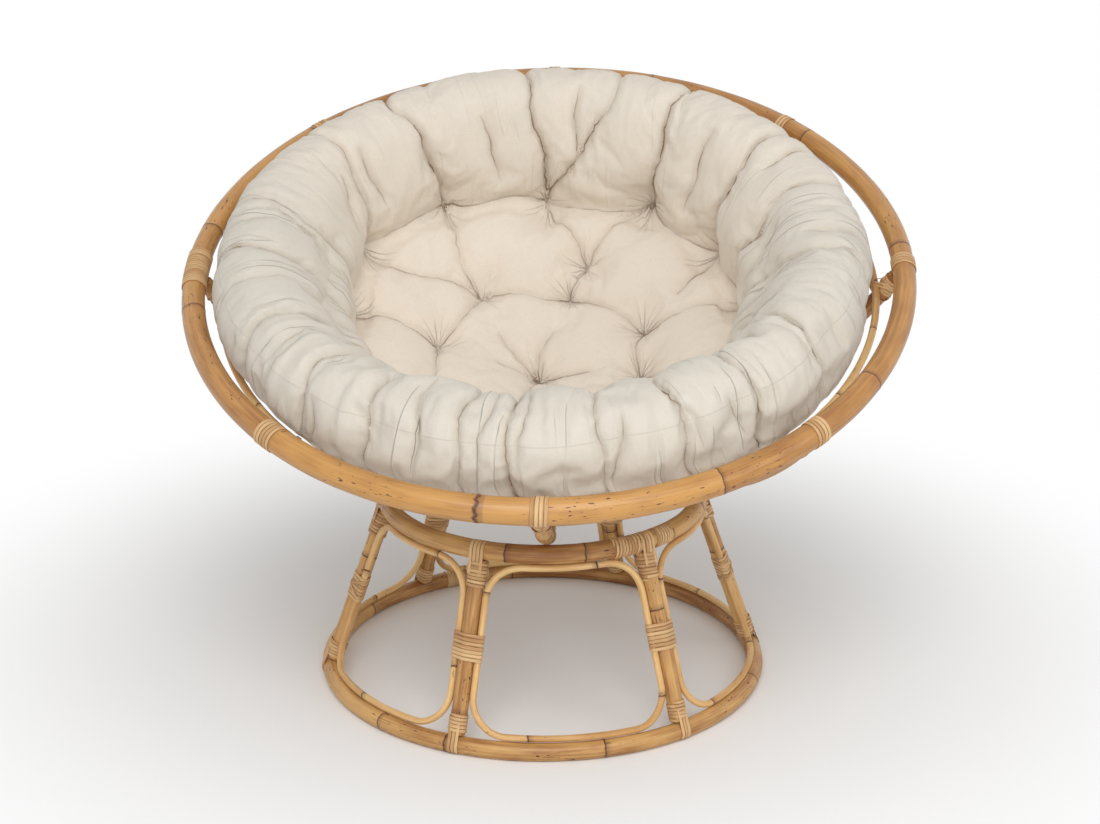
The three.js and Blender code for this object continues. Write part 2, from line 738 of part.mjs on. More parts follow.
// The chair's origin is under the middle of its outline, at floor level
const outlineBox = new THREE.Box3().setFromObject(chair, true)
const outlineMiddle = outlineBox.getCenter(new THREE.Vector3())
chair.position.set(-outlineMiddle.x, -outlineMiddle.y, -outlineBox.min.z)

console.log(`least gap of a winding to itself ${leastGapOfAll.toFixed(2)} mm`)
console.log(`shift ${chair.position.toArray().map((value) => value.toFixed(3))}`)
console.log(`bowl centre height ${bowlCentreHeight.toFixed(3)}, rim drop ${rimDrop.toFixed(3)}`)

export default chair
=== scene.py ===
"""Papasan chair: a rattan base and bowl with a tufted cotton cushion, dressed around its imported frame."""

import json
import math

import bpy
import numpy as np
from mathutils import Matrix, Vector
from mathutils.kdtree import KDTree


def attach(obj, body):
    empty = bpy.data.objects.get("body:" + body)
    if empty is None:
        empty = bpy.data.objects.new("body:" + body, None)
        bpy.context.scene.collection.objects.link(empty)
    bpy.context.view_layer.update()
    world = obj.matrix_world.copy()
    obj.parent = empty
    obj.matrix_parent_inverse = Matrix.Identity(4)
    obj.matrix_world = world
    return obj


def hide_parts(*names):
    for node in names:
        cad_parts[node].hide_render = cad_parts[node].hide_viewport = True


bl_info = {
    "name": "Papasan chair",
    "version": (1, 0, 0),
    "blender": (4, 5, 0),
    "location": "3D View > Sidebar > Papasan",
    "description": "Builds a rattan papasan chair with a tufted cotton cushion",
    "category": "Object",
}

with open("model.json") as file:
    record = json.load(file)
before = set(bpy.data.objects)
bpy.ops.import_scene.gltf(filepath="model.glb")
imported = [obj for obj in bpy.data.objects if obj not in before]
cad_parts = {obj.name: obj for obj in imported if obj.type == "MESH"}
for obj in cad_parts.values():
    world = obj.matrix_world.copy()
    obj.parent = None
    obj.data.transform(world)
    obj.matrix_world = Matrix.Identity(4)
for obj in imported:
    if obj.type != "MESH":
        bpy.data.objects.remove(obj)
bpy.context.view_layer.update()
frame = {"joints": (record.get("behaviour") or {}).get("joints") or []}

TURN = 2 * math.pi
MM = 0.001

UP = np.array([0, 0, 1.0])

# The bowl turns about the middle of its sphere, and the base stands round the point below it
TILT_JOINT = next(joint for joint in frame["joints"] if joint["name"] == "bowl_tilt")
BOWL_CENTRE = np.array(TILT_JOINT["pos_m"])
BOWL_TILT = -math.radians(TILT_JOINT["range_deg"][0])
BASE_CENTRE = BOWL_CENTRE * (1, 1, 0)


def linear(code):
    """Linear colour, with alpha, of a colour written as #rrggbb."""
    parts = [int(code[i : i + 2], 16) / 255 for i in (1, 3, 5)]
    values = [part / 12.92 if part <= 0.04045 else ((part + 0.055) / 1.055) ** 2.4 for part in parts]
    return (*values, 1.0)


def length(name, description, default):
    return bpy.props.FloatProperty(
        name=name, description=description, default=default, min=0.0, precision=4, unit="LENGTH"
    )


def angle(name, description, degrees):
    return bpy.props.FloatProperty(
        name=name, description=description, default=math.radians(degrees), unit="ROTATION"
    )


def share(name, description, default):
    return bpy.props.FloatProperty(name=name, description=description, default=default)


def count(name, description, default):
    return bpy.props.IntProperty(name=name, description=description, default=default, min=1)


def colour(name, description, code):
    return bpy.props.FloatVectorProperty(
        name=name, description=description, default=linear(code), subtype="COLOR", size=4, min=0.0, max=1.0
    )


class PapasanBaseSizes(bpy.types.PropertyGroup):
    """Sizes of the base."""

    floor_ring_radius: length("Floor ring", "Centre line of the ring on the floor", 0.326)
    floor_pole_radius: length("Floor pole", "Radius of the floor ring's pole", 0.013)
    top_ring_radius: length("Top ring", "Centre line of the ring that the bowl rests on", 0.234)
    top_ring_height: length("Top ring height", "Height of the top ring's centre line", 0.276)
    top_pole_radius: length("Top pole", "Radius of the top ring's pole", 0.014)
    leg_count: count("Legs", "Number of legs", 6)
    leg_radius: length("Leg pole", "Radius of a leg", 0.012)
    first_leg: angle("First leg", "Azimuth of the front right leg", -47.8)
    window_cane_radius: length("Window cane", "Radius of the thin cane between two legs", 0.005)
    window_gap: length("Window gap", "Clearance between a window cane and its poles", 0.00045)
    window_top_corner: length("Top corner", "Radius of a window cane's upper corners", 0.060)
    window_foot_corner: length("Foot corner", "Radius of a window cane's lower corners", 0.045)


class PapasanBowlSizes(bpy.types.PropertyGroup):
    """Sizes of the bowl."""

    bowl_radius: length("Bowl", "Radius of the sphere that the ribs follow", 0.600)
    rim_radius: length("Rim", "Centre line of the rim", 0.533)
    rim_front_pole: length("Rim pole in front", "Radius of the rim's pole in front", 0.0195)
    rim_back_pole: length("Rim pole behind", "Radius of the rim's pole behind", 0.0165)
    rib_count: count("Ribs", "Number of ribs", 8)
    rib_radius: length("Rib", "Radius of a rib", 0.012)
    first_rib: angle("First rib", "Azimuth of the right rib", 3)
    hub_radius: length("Hub", "Distance of the ribs' inner ends from the bowl's axis", 0.042)
    hoop_cane_radius: length("Hoop cane", "Radius of a hoop's cane", 0.0055)
    hoop_gap: length("Hoop gap", "Clearance between the hoops and the ribs", 0.0003)
    upper_hoop_drop: length("Upper hoop", "Depth of the upper hoop below the rim", 0.035)
    middle_hoop: length("Middle hoop", "Radius of the middle hoop", 0.375)
    lower_hoop: length("Lower hoop", "Radius of the lower hoop", 0.225)
    hub_hoop: length("Hub hoop", "Radius of the hoop round the hub", 0.082)


class PapasanBindingSizes(bpy.types.PropertyGroup):
    """Sizes of the bindings of rattan peel."""

    strand_height: length("Strand thickness", "Thickness of a strand of peel", 0.0013)
    strand_pitch: length("Strand pitch", "Step from one turn to the next on the rim", 0.0062)
    middle_pitch: length("Middle pitch", "Step from one turn to the next at a leg's middle", 0.0057)
    collar_pitch: length("Collar pitch", "Step from one turn to the next on a collar", 0.0052)
    collar_start: length("Collar start", "Distance of a collar from the ring's pole", 0.0043)
    splice_pitch: length("Splice pitch", "Step from one turn to the next on a splice", 0.0048)
    lashing_width: length("Lashing", "Width of the strands where a hoop crosses a rib", 0.0036)
    strand_play: length("Play", "How far a turn strays from its even place", 0.00022)


class PapasanCushionSizes(bpy.types.PropertyGroup):
    """Sizes of the cushion, and how its cover is blown up."""

    radius: length("Radius", "Outer radius of the cushion's roll", 0.490)
    lean: length("Lean", "How far the roll has slid to the left", 0.011)
    thickness: length("Thickness", "Thickness of the seat between tufts", 0.070)
    back_height: length("Back height", "Height of the roll above the rim at the back", 0.075)
    front_height: length("Front height", "Height of the roll above the rim in front", 0.100)
    edge_drop: length("Edge drop", "Depth of the underside's edge below the rim", 0.044)
    foot_sink: length("Foot sink", "How far the roll's foot lies below the seat", 0.010)
    tuft_depth: length("Tuft depth", "How far a tuft is drawn in", 0.024)
    tuft_spread: length("Tuft spread", "Distance over which a tuft draws the cover in", 0.030)
    knot_share: share("Knot share", "Depth of a knot on the roll as a share of a tuft's", 0.4)
    seat_crease: length("Seat crease", "Depth of the creases from tuft to tuft", 0.010)
    roll_crease: length("Roll crease", "Depth of the creases over the roll", 0.020)
    crease_spread: length("Crease spread", "Distance over which a crease draws the cover in", 0.012)
    loose_fold: length("Loose fold", "Depth of the short folds over the roll", 0.0085)
    under_tuft: length("Tuft below", "How far a tuft draws the underside in", 0.016)
    under_spread: length("Tuft spread below", "Distance over which a tuft draws the underside in", 0.045)
    under_gather: length("Gather below", "Depth of the folds round the underside's edge", 0.004)
    crease_edge: length("Crease edge", "How much deeper a crease is along its very line", 0.0035)
    crease_lip: length("Crease lip", "Height of the fold that lies along one side of a crease", 0.0018)
    ripple: length("Ripple", "Height of the ripples from which folds grow", 0.0008)
    gathers: count("Gathers", "Number of short folds below the seam", 34)
    underside_gap: length("Underside gap", "Distance of the underside inside its solid", 0.0025)
    rim_clearance: length("Rim clearance", "Distance of the cover from the rim's pole", 0.004)
    cover_step: length("Cover step", "Distance between two points of the cover", 0.0072)
    most_swell: length("Most swell", "How far a point of the cover may move", 0.030)
    seat_spare: share("Seat spare", "How much larger the seat's cover is cut than its filling", 0.05)
    roll_spare: share("Roll spare", "How much larger the roll's cover is cut than its filling", 0.085)
    pressure: share("Pressure", "Push of the filling on the cover", 20.0)
    frames: count("Frames", "Number of steps for which the cover is blown up", 24)
    smoothing: share("Smoothing", "How far the blown-up cover is smoothed", 0.35)


class PapasanRattanLooks(bpy.types.PropertyGroup):
    """Colours of the rattan."""

    rim_pale: colour("Rim, pale", "Lightest skin of the rim", "#c9944f")
    rim_deep: colour("Rim, deep", "Darkest skin of the rim", "#9a652e")
    pole_pale: colour("Poles, pale", "Lightest skin of the base and ribs", "#d2a464")
    pole_deep: colour("Poles, deep", "Darkest skin of the base and ribs", "#935f2d")
    cane_pale: colour("Canes, pale", "Lightest skin of the thin canes", "#ecc588")
    cane_deep: colour("Canes, deep", "Darkest skin of the thin canes", "#b88345")
    peel_pale: colour("Peel, pale", "Lightest fibre of the bindings", "#dfba88")
    peel_deep: colour("Peel, deep", "Darkest fibre of the bindings", "#a87645")
    scar: colour("Growth rings", "Leaf scars and specks on the skin", "#4f2615")


class PapasanCottonLooks(bpy.types.PropertyGroup):
    """Colours of the cushion's cotton, with the painted light of its seat and the painted shade of its
    creases.
    """

    cloth: colour("Cloth", "The cotton in the light", "#dcd5c8")
    # Painted light: the seat and the inner back are painted in this lighter, warmer colour
    painted_light_cloth: colour("Warm cloth", "The warmer cotton of the seat and the back", "#efe4d5")
    # Painted shade: creases, the shadow under their folds and the wrinkles are darkened towards this
    # colour; slubs, tuft stitches and the seam line take it too
    crease: colour("Creases", "The cotton deep in a crease", "#83664a")
    wrinkles: share("Wrinkles", "How deep the fine wrinkles of the cotton are", 1.5)


class PapasanStageSettings(bpy.types.PropertyGroup):
    """Camera and light."""

    target_height: length("Target height", "Height of the point that the camera looks at", 0.45)
    azimuth: angle("Azimuth", "Side from which the camera looks", 4.6)
    elevation: angle("Elevation", "How far the camera looks down", 18.8)
    distance: length("Distance", "From the camera to its target", 3.5)
    lens: bpy.props.FloatProperty(name="Lens", description="Focal length in mm", default=77.0, min=1.0)
    shift_x: share("Shift across", "How far the photograph's middle lies beside the target", 0.0066)
    shift_y: share("Shift up", "How far the photograph's middle lies below the target", -0.0244)
    key_power: share("Key light", "Power of the soft light above the front, in watts", 51.0)
    fill_power: share("Fill light", "Power of the light from the right, in watts", 12.0)
    low_power: share("Low light", "Power of the low light from the front, in watts", 12.0)
    sky: share("Sky", "Strength of the even light from all round", 0.58)


def chosen(part):
    """The scene's settings of one part, with their present values."""
    return getattr(bpy.context.scene, "papasan_" + part)


# Helpers for points and directions


def unit(vectors):
    return vectors / np.linalg.norm(vectors, axis=-1, keepdims=True)


def outward_at(azimuths):
    """Level directions out from an upright axis."""
    azimuths = np.asarray(azimuths, float)
    return np.stack([np.cos(azimuths), np.sin(azimuths), np.zeros_like(azimuths)], -1)


def bowl_direction(vectors):
    """Directions of the bowl's own frame, where its axis is upright, turned to the chair's."""
    x, y, z = np.moveaxis(np.asarray(vectors, float), -1, 0)
    cosine, sine = math.cos(BOWL_TILT), math.sin(BOWL_TILT)
    return np.stack([x, y * cosine - z * sine, y * sine + z * cosine], -1)


def bowl_point(points):
    return bowl_direction(points) + BOWL_CENTRE


def sphere_direction(angles, azimuths):
    """Directions at an angle off the bowl's lowest point."""
    return outward_at(azimuths) * np.sin(angles)[..., None] - UP * np.cos(angles)[..., None]


def smooth(value, low, high):
    """0 below low, 1 above high and a soft step between them."""
    way = np.clip((np.asarray(value, float) - low) / (high - low), 0, 1)
    return way * way * (3 - 2 * way)


def run_length(points):
    steps = np.linalg.norm(np.diff(points, axis=0), axis=1)
    return np.concatenate([[0], np.cumsum(steps)])


def at_lengths(values, run, places):
    """Values along a line, read at some distances from its start."""
    columns = [np.interp(places, run, column) for column in values.reshape(len(values), -1).T]
    return np.stack(columns, -1).reshape(len(places), *values.shape[1:])


# Meshes


def add_mesh(name, points, faces, attributes=None):
    mesh = bpy.data.meshes.new(name)
    mesh.from_pydata(points.tolist(), [], faces)
    mesh.shade_smooth()
    for label, values in (attributes or {}).items():
        layer = mesh.attributes.new(label, "FLOAT_VECTOR", "POINT")
        layer.data.foreach_set("vector", np.asarray(values, np.float32).ravel())
    mesh.update()
    piece = bpy.data.objects.new(name, mesh)
    bpy.context.scene.collection.objects.link(piece)
    return piece


def skin_faces(rows, sides, closed, first=0):
    """Faces of a skin through rows of points, capped at both ends unless it closes on itself."""
    faces = []
    for i in range(rows if closed else rows - 1):
        here, after = first + i * sides, first + (i + 1) % rows * sides
        for j in range(sides):
            k = (j + 1) % sides
            faces.append((here + j, after + j, after + k, here + k))
    if not closed:
        faces.append(tuple(first + j for j in range(sides)))
        faces.append(tuple(first + (rows - 1) * sides + j for j in reversed(range(sides))))
    return faces


class Bundle:
    """Several skins that end up in one mesh, with what their material reads."""

    def __init__(self):
        self.points = []
        self.faces = []
        self.fibres = []
        self.total = 0

    def add(self, sections, fibres, closed=False):
        rows, sides = sections.shape[:2]
        self.faces += skin_faces(rows, sides, closed, self.total)
        self.points.append(sections.reshape(-1, 3))
        self.fibres.append(fibres.reshape(-1, 3))
        self.total += rows * sides

    def build(self, name):
        return add_mesh(name, np.vstack(self.points), self.faces, {"strand": np.vstack(self.fibres)})


def dress(piece, body, slot_name, *nodes):
    """Gives a piece its finish and its body, and lets it stand for its CAD nodes."""
    piece.data.materials.append(finish(slot_name))
    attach(piece, body)
    if nodes:
        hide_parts(*nodes)
    return piece


# Materials


class Signal:
    """An output of a shader tree; arithmetic with it adds the nodes that work it out."""

    def __init__(self, tree, socket):
        self.tree = tree
        self.socket = socket

    def __add__(self, other):
        return self.tree.calc("ADD", self, other)

    def __sub__(self, other):
        return self.tree.calc("SUBTRACT", self, other)

    def __mul__(self, other):
        return self.tree.calc("MULTIPLY", self, other)

    def __abs__(self):
        return self.tree.calc("ABSOLUTE", self)


class Tree:
    """Adds shader nodes to a tree and links what is given to their inputs."""

    def __init__(self, tree):
        self.tree = tree

    def feed(self, value, socket):
        """Links a signal to a socket, or sets the socket to a plain value."""
        if isinstance(value, Signal):
            value = value.socket
        if isinstance(value, bpy.types.NodeSocket):
            self.tree.links.new(value, socket)
        elif value is not None:
            socket.default_value = value

    def add(self, kind, *inputs, named=None, **options):
        node = self.tree.nodes.new("ShaderNode" + kind)
        for name, value in options.items():
            setattr(node, name, value)
        for socket, value in zip(node.inputs, inputs):
            self.feed(value, socket)
        for key, value in (named or {}).items():
            self.feed(value, node.inputs[key])
        return node

    def calc(self, operation, first, second=None):
        return Signal(self, self.add("Math", first, second, operation=operation).outputs[0])

    def most(self, first, *others):
        """The greatest of several values."""
        for other in others:
            first = self.calc("MAXIMUM", first, other)
        return first

    def stretched(self, vector, scale):
        return Signal(self, self.add("VectorMath", vector, scale, operation="MULTIPLY").outputs[0])

    def noise(self, vector, waves, detail):
        """Noise with a number of waves in a metre along each axis."""
        named = {"Vector": self.stretched(vector, waves), "Scale": 1.0, "Detail": detail}
        return Signal(self, self.add("TexNoise", named=named).outputs[0])

    def step(self, value, low, high, start=0.0, end=1.0):
        """A soft step of a value from low to high."""
        node = self.add("MapRange", value, low, high, start, end, interpolation_type="SMOOTHSTEP")
        return Signal(self, node.outputs[0])

    def mixed(self, share_of_second, first, second):
        node = self.add("Mix", share_of_second, data_type="RGBA", named={6: first, 7: second})
        return Signal(self, node.outputs[2])

    def parts(self, vector):
        return [Signal(self, part) for part in self.add("SeparateXYZ", vector).outputs]

    def attribute(self, name):
        node = self.add("Attribute", attribute_name=name, attribute_type="GEOMETRY")
        return Signal(self, node.outputs["Vector"])


SKIN_OUTPUTS = (("Color", "Color"), ("Roughness", "Float"), ("Height", "Float"))


def node_group(name, inputs):
    """A new shader node group; returns the tree, what it is given and its output node's sockets."""
    tree = bpy.data.node_groups.new(name, "ShaderNodeTree")
    for label, kind in inputs:
        tree.interface.new_socket(name=label, in_out="INPUT", socket_type="NodeSocket" + kind)
    for label, kind in SKIN_OUTPUTS:
        tree.interface.new_socket(name=label, in_out="OUTPUT", socket_type="NodeSocket" + kind)
    wrapped = Tree(tree)
    sockets = tree.nodes.new("NodeGroupInput").outputs
    given = {label: Signal(wrapped, sockets[label]) for label, _ in inputs}
    return wrapped, given, tree.nodes.new("NodeGroupOutput").inputs


def rattan_skin():
    """Skin of a rattan pole: long fibres, blotches, specks, and a dark scar at each growth ring."""
    if "Rattan skin" in bpy.data.node_groups:
        return bpy.data.node_groups["Rattan skin"]
    colours = [(label, "Color") for label in ("Pale", "Deep", "Scar")]
    levels = [(label, "Float") for label in ("Contrast", "Specks", "Roughness")]
    tree, given, result = node_group("Rattan skin", colours + levels)
    place = tree.attribute("pole_space")
    distance, near, tone = tree.parts(tree.attribute("growth"))
    fibres = tree.noise(place, (1500, 1500, 24), 2)
    bands = tree.noise(place, (260, 260, 5), 3)
    blotches = tree.noise(place, (70, 70, 16), 3)
    shade = bands * 0.42 + fibres * 0.25 + (blotches * 0.5 + tone * 0.26)
    skin = tree.mixed(tree.step(shade, 0.52, 0.98) * given["Contrast"], given["Pale"], given["Deep"])

    # Distances from a growth ring are in mm, and the ring's line wavers round the pole
    strayed = distance + (tree.noise(place, (95, 95, 0), 2) - 0.5) * 5.0
    patchy = tree.step(tree.noise(place, (420, 420, 420), 2), 0.3, 0.62, 0.55, 1.0)
    line = near * patchy * tree.step(abs(strayed), 0.5, 1.7, 1.0, 0.0)
    stain = near * tree.step(strayed, 0.0, 11.0, 0.42, 0.0) * tree.step(strayed, -2.6, 0.0)
    ringed = tree.mixed(line, tree.mixed(stain, skin, given["Scar"]), given["Scar"])

    spots = tree.step(tree.noise(place, (330, 330, 95), 1), 0.675, 0.72)
    cracks = tree.step(tree.noise(place, (620, 620, 20), 2), 0.68, 0.74)
    patches = tree.step(tree.noise(place, (26, 26, 9), 1), 0.47, 0.60)
    marks = tree.most(spots, cracks * 0.7) * patches * given["Specks"]
    tree.feed(tree.mixed(marks, ringed, given["Scar"]), result["Color"])
    dents = tree.most(line, marks)
    tree.feed(given["Roughness"] + fibres * 0.12 + dents * 0.25, result["Roughness"])
    tree.feed(fibres * 0.5 + bands * 0.8 - dents * 0.8, result["Height"])
    return tree.tree


def peel_fibre():
    """Split rattan: fibres along a strand, painted shade at its edges, and a tone of its own for each turn.
    """
    if "Peel fibre" in bpy.data.node_groups:
        return bpy.data.node_groups["Peel fibre"]
    inputs = [("Pale", "Color"), ("Deep", "Color"), ("Roughness", "Float")]
    tree, given, result = node_group("Peel fibre", inputs)
    place = tree.attribute("strand")
    across, _, tone = tree.parts(place)
    fibres = tree.noise(place, (7, 40, 3), 3)
    blotches = tree.noise(place, (1.2, 24, 9), 2)
    shade = fibres * 0.5 + blotches * 0.45 + tone * 0.30
    body = tree.mixed(tree.step(shade, 0.38, 0.98), given["Pale"], given["Deep"])
    # Painted shade: each strand darkens towards its edges, where the gaps between strands lie
    edge = tree.step(abs(across), 0.72, 1.02, 0.0, 0.75)
    tree.feed(tree.mixed(edge, body, given["Deep"]), result["Color"])
    tree.feed(given["Roughness"] + fibres * 0.2, result["Roughness"])
    tree.feed(fibres, result["Height"])
    return tree.tree


# Height of each material's relief, and the width of a yarn over and under its neighbours
POLE_RELIEF = 0.22 * MM
PEEL_RELIEF = 0.3 * MM
COTTON_RELIEF = 1.6 * MM
YARN_WAVE = 1.1 * MM


def new_material(name):
    """A material with an empty tree but for its shader, which is returned with the tree."""
    material = bpy.data.materials.new(name)
    material.use_nodes = True
    shader = material.node_tree.nodes["Principled BSDF"]
    return material, Tree(material.node_tree), shader


def link_surface(tree, shader, colour_out, rough_out, height_out, relief):
    tree.feed(colour_out, shader.inputs["Base Color"])
    tree.feed(rough_out, shader.inputs["Roughness"])
    bump = tree.add("Bump", named={"Strength": 1.0, "Distance": relief, "Height": height_out})
    tree.feed(bump.outputs["Normal"], shader.inputs["Normal"])


def grouped_material(name, group_tree, given, relief):
    """A material whose colour, roughness and height a node group works out."""
    material, tree, shader = new_material(name)
    out = tree.add("Group", node_tree=group_tree, named=given).outputs
    link_surface(tree, shader, out["Color"], out["Roughness"], out["Height"], relief)
    return material, shader


def rattan_material(name, part, contrast, specks, roughness, coat):
    looks = chosen("rattan")
    given = {"Scar": looks.scar, "Contrast": contrast, "Specks": specks, "Roughness": roughness}
    given["Pale"] = getattr(looks, part + "_pale")
    given["Deep"] = getattr(looks, part + "_deep")
    material, shader = grouped_material(name, rattan_skin(), given, POLE_RELIEF)
    shader.inputs["Coat Weight"].default_value = coat
    shader.inputs["Coat Roughness"].default_value = 0.22
    return material


def peel_material(name):
    looks = chosen("rattan")
    given = {"Pale": looks.peel_pale, "Deep": looks.peel_deep, "Roughness": 0.5}
    return grouped_material(name, peel_fibre(), given, PEEL_RELIEF)[0]


def fold_height(tree, noise):
    """Sharp folds along the lines where a noise passes its middle, each with a soft and a steep side."""
    return tree.step(noise, 0.475, 0.50) * tree.step(noise, 0.50, 0.62, 1.0, 0.0)


def cotton_material(name):
    """Plain-woven cotton: yarns over and under each other, slubs, painted shade in the creases, and painted
    light on the seat and the back.
    """
    looks = chosen("cotton")
    material, tree, shader = new_material(name)
    place = tree.attribute("cloth")
    painted_light_share, _, seam = tree.parts(tree.attribute("folds"))
    across_fold, strength, away = tree.parts(tree.attribute("dip"))
    star = tree.attribute("star")
    near_tuft = tree.parts(star)[2]
    across, along, _ = tree.parts(tree.stretched(place, (TURN / YARN_WAVE, TURN / YARN_WAVE, 0)))
    weave = tree.calc("SINE", across) * tree.calc("SINE", along)
    slubs = tree.noise(place, (1500, 90, 1), 2) + tree.noise(place, (90, 1500, 1), 2)
    blotches = tree.noise(place, (14, 14, 1), 3)

    rays = tree.noise(star, (1.9, 1.9, 0.25), 0)
    round_roll = tree.attribute("round")
    runs = tree.noise(round_roll, (13, 13, 2.6), 1)
    patchy = tree.step(tree.noise(round_roll, (6, 6, 13), 1), 0.38, 0.56)
    on_roll = patchy * tree.step(painted_light_share, 0.1, 0.9, 1.0, 0.0)
    wrinkles = tree.most(fold_height(tree, rays) * near_tuft, fold_height(tree, runs) * on_roll)
    # Painted light: the seat and the back are painted lighter and warmer, mottled by the blotches
    tint = painted_light_share + (blotches - 0.5) * 0.7
    cloth = tree.mixed(tree.step(tint, 0.0, 1.0), looks.cloth, looks.painted_light_cloth)
    cloth = tree.mixed(tree.step(slubs, 0.9, 1.35, 0.0, 0.10), cloth, looks.crease)

    # Painted shade: a crease is darkened along its line, more in some patches, with painted shadow below
    # the fold that hangs over it; distances are in mm
    kept_share = tree.step(tree.noise(place, (24, 24, 1), 1), 0.36, 0.58, 0.4, 1.0)
    beside = tree.step(abs(across_fold), 0.2, 2.0, 0.95, 0.0)
    line = beside * tree.step(away, 4.0, 6.0, 1.0, 0.0) * (strength * kept_share)
    under = tree.step(across_fold, -7.0, 0.0) * tree.step(across_fold, 0.0, 2.0, 0.36, 0.0)
    shade = tree.most(tree.step(away, 0.0, 14.0, 0.16, 0.0), under) * strength
    stitch = tree.step(near_tuft, 0.99, 1.0, 0.0, 0.55)
    sewn = tree.step(abs(seam), 0.4, 1.5, 0.15, 0.0)
    # Painted shade of the creases and the wrinkles is mixed towards the crease colour, together with the
    # tuft stitches and the seam line
    cloth = tree.mixed(tree.most(line, shade, stitch, sewn, wrinkles * 0.05), cloth, looks.crease)
    height = weave * 0.05 + slubs * 0.05 - wrinkles * looks.wrinkles
    shader.inputs["Sheen Weight"].default_value = 0.18
    shader.inputs["Sheen Roughness"].default_value = 0.5
    shader.inputs["Specular IOR Level"].default_value = 0.25
    link_surface(tree, shader, cloth, tree.step(slubs, 0.6, 1.4, 0.82, 0.95), height, COTTON_RELIEF)
    return material


# Colours of each slot of rattan, with its contrast, specks, roughness and coat
RATTAN_KINDS = {
    "rim_pole": ("rim", 1.0, 0.9, 0.32, 0.25),
    "base_poles": ("pole", 1.1, 1.3, 0.42, 0.10),
    "thin_canes": ("cane", 0.9, 0.5, 0.42, 0.08),
}


def finish(slot_name):
    """The material of one of the record's slots, made once."""
    name = "skin_of_" + slot_name
    if name in bpy.data.materials:
        return bpy.data.materials[name]
    if slot_name in RATTAN_KINDS:
        return rattan_material(name, *RATTAN_KINDS[slot_name])
    return peel_material(name) if slot_name == "peel_bindings" else cotton_material(name)


# Poles

# Steps along a ring's line, along a pole, off each growth ring and off each end
LINE_STEP = 2 * MM
POLE_STEP = 6 * MM
CANE_SIDES = 18
RIB_SIDES = 24
RIM_SIDES = 40
RING_STEPS = np.array([0, 0.7, 1.4, 2.4, 3.8, 5.6, 8.0, 11.0]) * MM
END_STEPS = np.array([0, 0.3, 0.9, 2.0, 3.5]) * MM
END_SHARES = np.array([0.80, 0.90, 0.965, 0.993, 1.0])
# How far the stain of a growth ring reaches, and the swelling and the groove there as shares of the
# pole's radius with the length over which they fade
STAIN_REACH = (9.5 * MM, 11 * MM)
RING_SWELLING = (0.022, 3.2 * MM)
RING_GROOVE = (-0.014, 0.7 * MM)
# How much wider the lines of the broadest growth rings are
BROAD_RING = 2.6


def pole_skin(points, outward, radius, scars, sides, seed, closed=False, broad=()):
    """Skin of a pole along a line: its sections and what the rattan's material reads.

    scars are the distances of the growth rings from the line's start, and broad those of the broadest.
    """
    rng = np.random.default_rng(seed)
    run = run_length(points)
    total = run[-1]
    near_rings = [scar + side * RING_STEPS for scar in scars for side in (-1, 1)]
    places = [np.linspace(0, total, max(4, int(total / POLE_STEP))), *near_rings]
    if not closed:
        places += [END_STEPS, total - END_STEPS]
    places = np.concatenate(places)
    places = np.unique(np.round(places[(places >= 0) & (places <= total)], 5))
    if closed:
        places = places[places < total - POLE_STEP / 2]
    line = at_lengths(points, run, places)
    out = at_lengths(outward, run, places)
    if closed:
        ahead = np.roll(line, -1, 0) - np.roll(line, 1, 0)
    else:
        ahead = np.gradient(line, axis=0)
    ahead = unit(ahead)
    out = unit(out - ahead * np.sum(out * ahead, -1, keepdims=True))
    side = np.cross(ahead, out)

    scars = np.sort(np.asarray(scars, float))
    nearest = np.argmin(np.abs(places[:, None] - scars[None]), 1)
    away = places - scars[nearest]
    widths = np.where(np.isin(scars, broad), BROAD_RING, rng.uniform(0.75, 1.25, len(scars)))[nearest]
    tones = rng.random(len(scars) + 1)
    tone = tones[np.searchsorted(scars, places)]
    near = 1 - smooth(np.abs(away), *STAIN_REACH)
    swell = 1.0
    for height, reach in (RING_SWELLING, RING_GROOVE):
        swell = swell + height * np.exp(-((away / reach) ** 2))

    angles = np.arange(sides) * TURN / sides
    phases = rng.random(4) * TURN
    waver = 0.006 * np.sin(2 * angles[None] + phases[0] + places[:, None] * 9)
    waver += 0.004 * np.sin(3 * angles[None] + phases[1] - places[:, None] * 17)
    lengthwise = 0.005 * np.sin(places * 23 + phases[2]) + 0.004 * np.sin(places * 61 + phases[3])
    size = np.interp(places, run, radius) if np.ndim(radius) else np.full(len(places), radius)
    if not closed:
        from_end = np.minimum(places, total - places)
        size = size * np.interp(from_end, END_STEPS, END_SHARES)
    around = size[:, None] * (swell + lengthwise - 0.009)[:, None] * (1 + waver)
    cosine, sine = np.cos(angles)[None, :, None], np.sin(angles)[None, :, None]
    sections = line[:, None] + around[..., None] * (out[:, None] * cosine + side[:, None] * sine)
    level = np.broadcast_to(places[:, None] + rng.random() * 20, around.shape)
    space = np.stack([around * np.cos(angles), around * np.sin(angles), level], -1)
    growth = np.stack([away / MM / widths, near, tone], -1)
    growth = np.repeat(growth[:, None], sides, 1)
    return sections, space, growth


def add_pole(name, points, outward, radius, scars, sides=28, seed=0, closed=False, floor=None, broad=()):
    sections, space, growth = pole_skin(points, outward, radius, scars, sides, seed, closed, broad)
    flat = sections.reshape(-1, 3)
    if floor is not None:
        flat[:, 2] = np.maximum(flat[:, 2], floor)
    faces = skin_faces(len(sections), sides, closed)
    return add_mesh(name, flat, faces, {"pole_space": space, "growth": growth})


# Usual distance from one growth ring to the next
WINDOW_RING_GAP = 0.21
RIB_RING_GAP = 0.22
HOOP_RING_GAP = 0.19


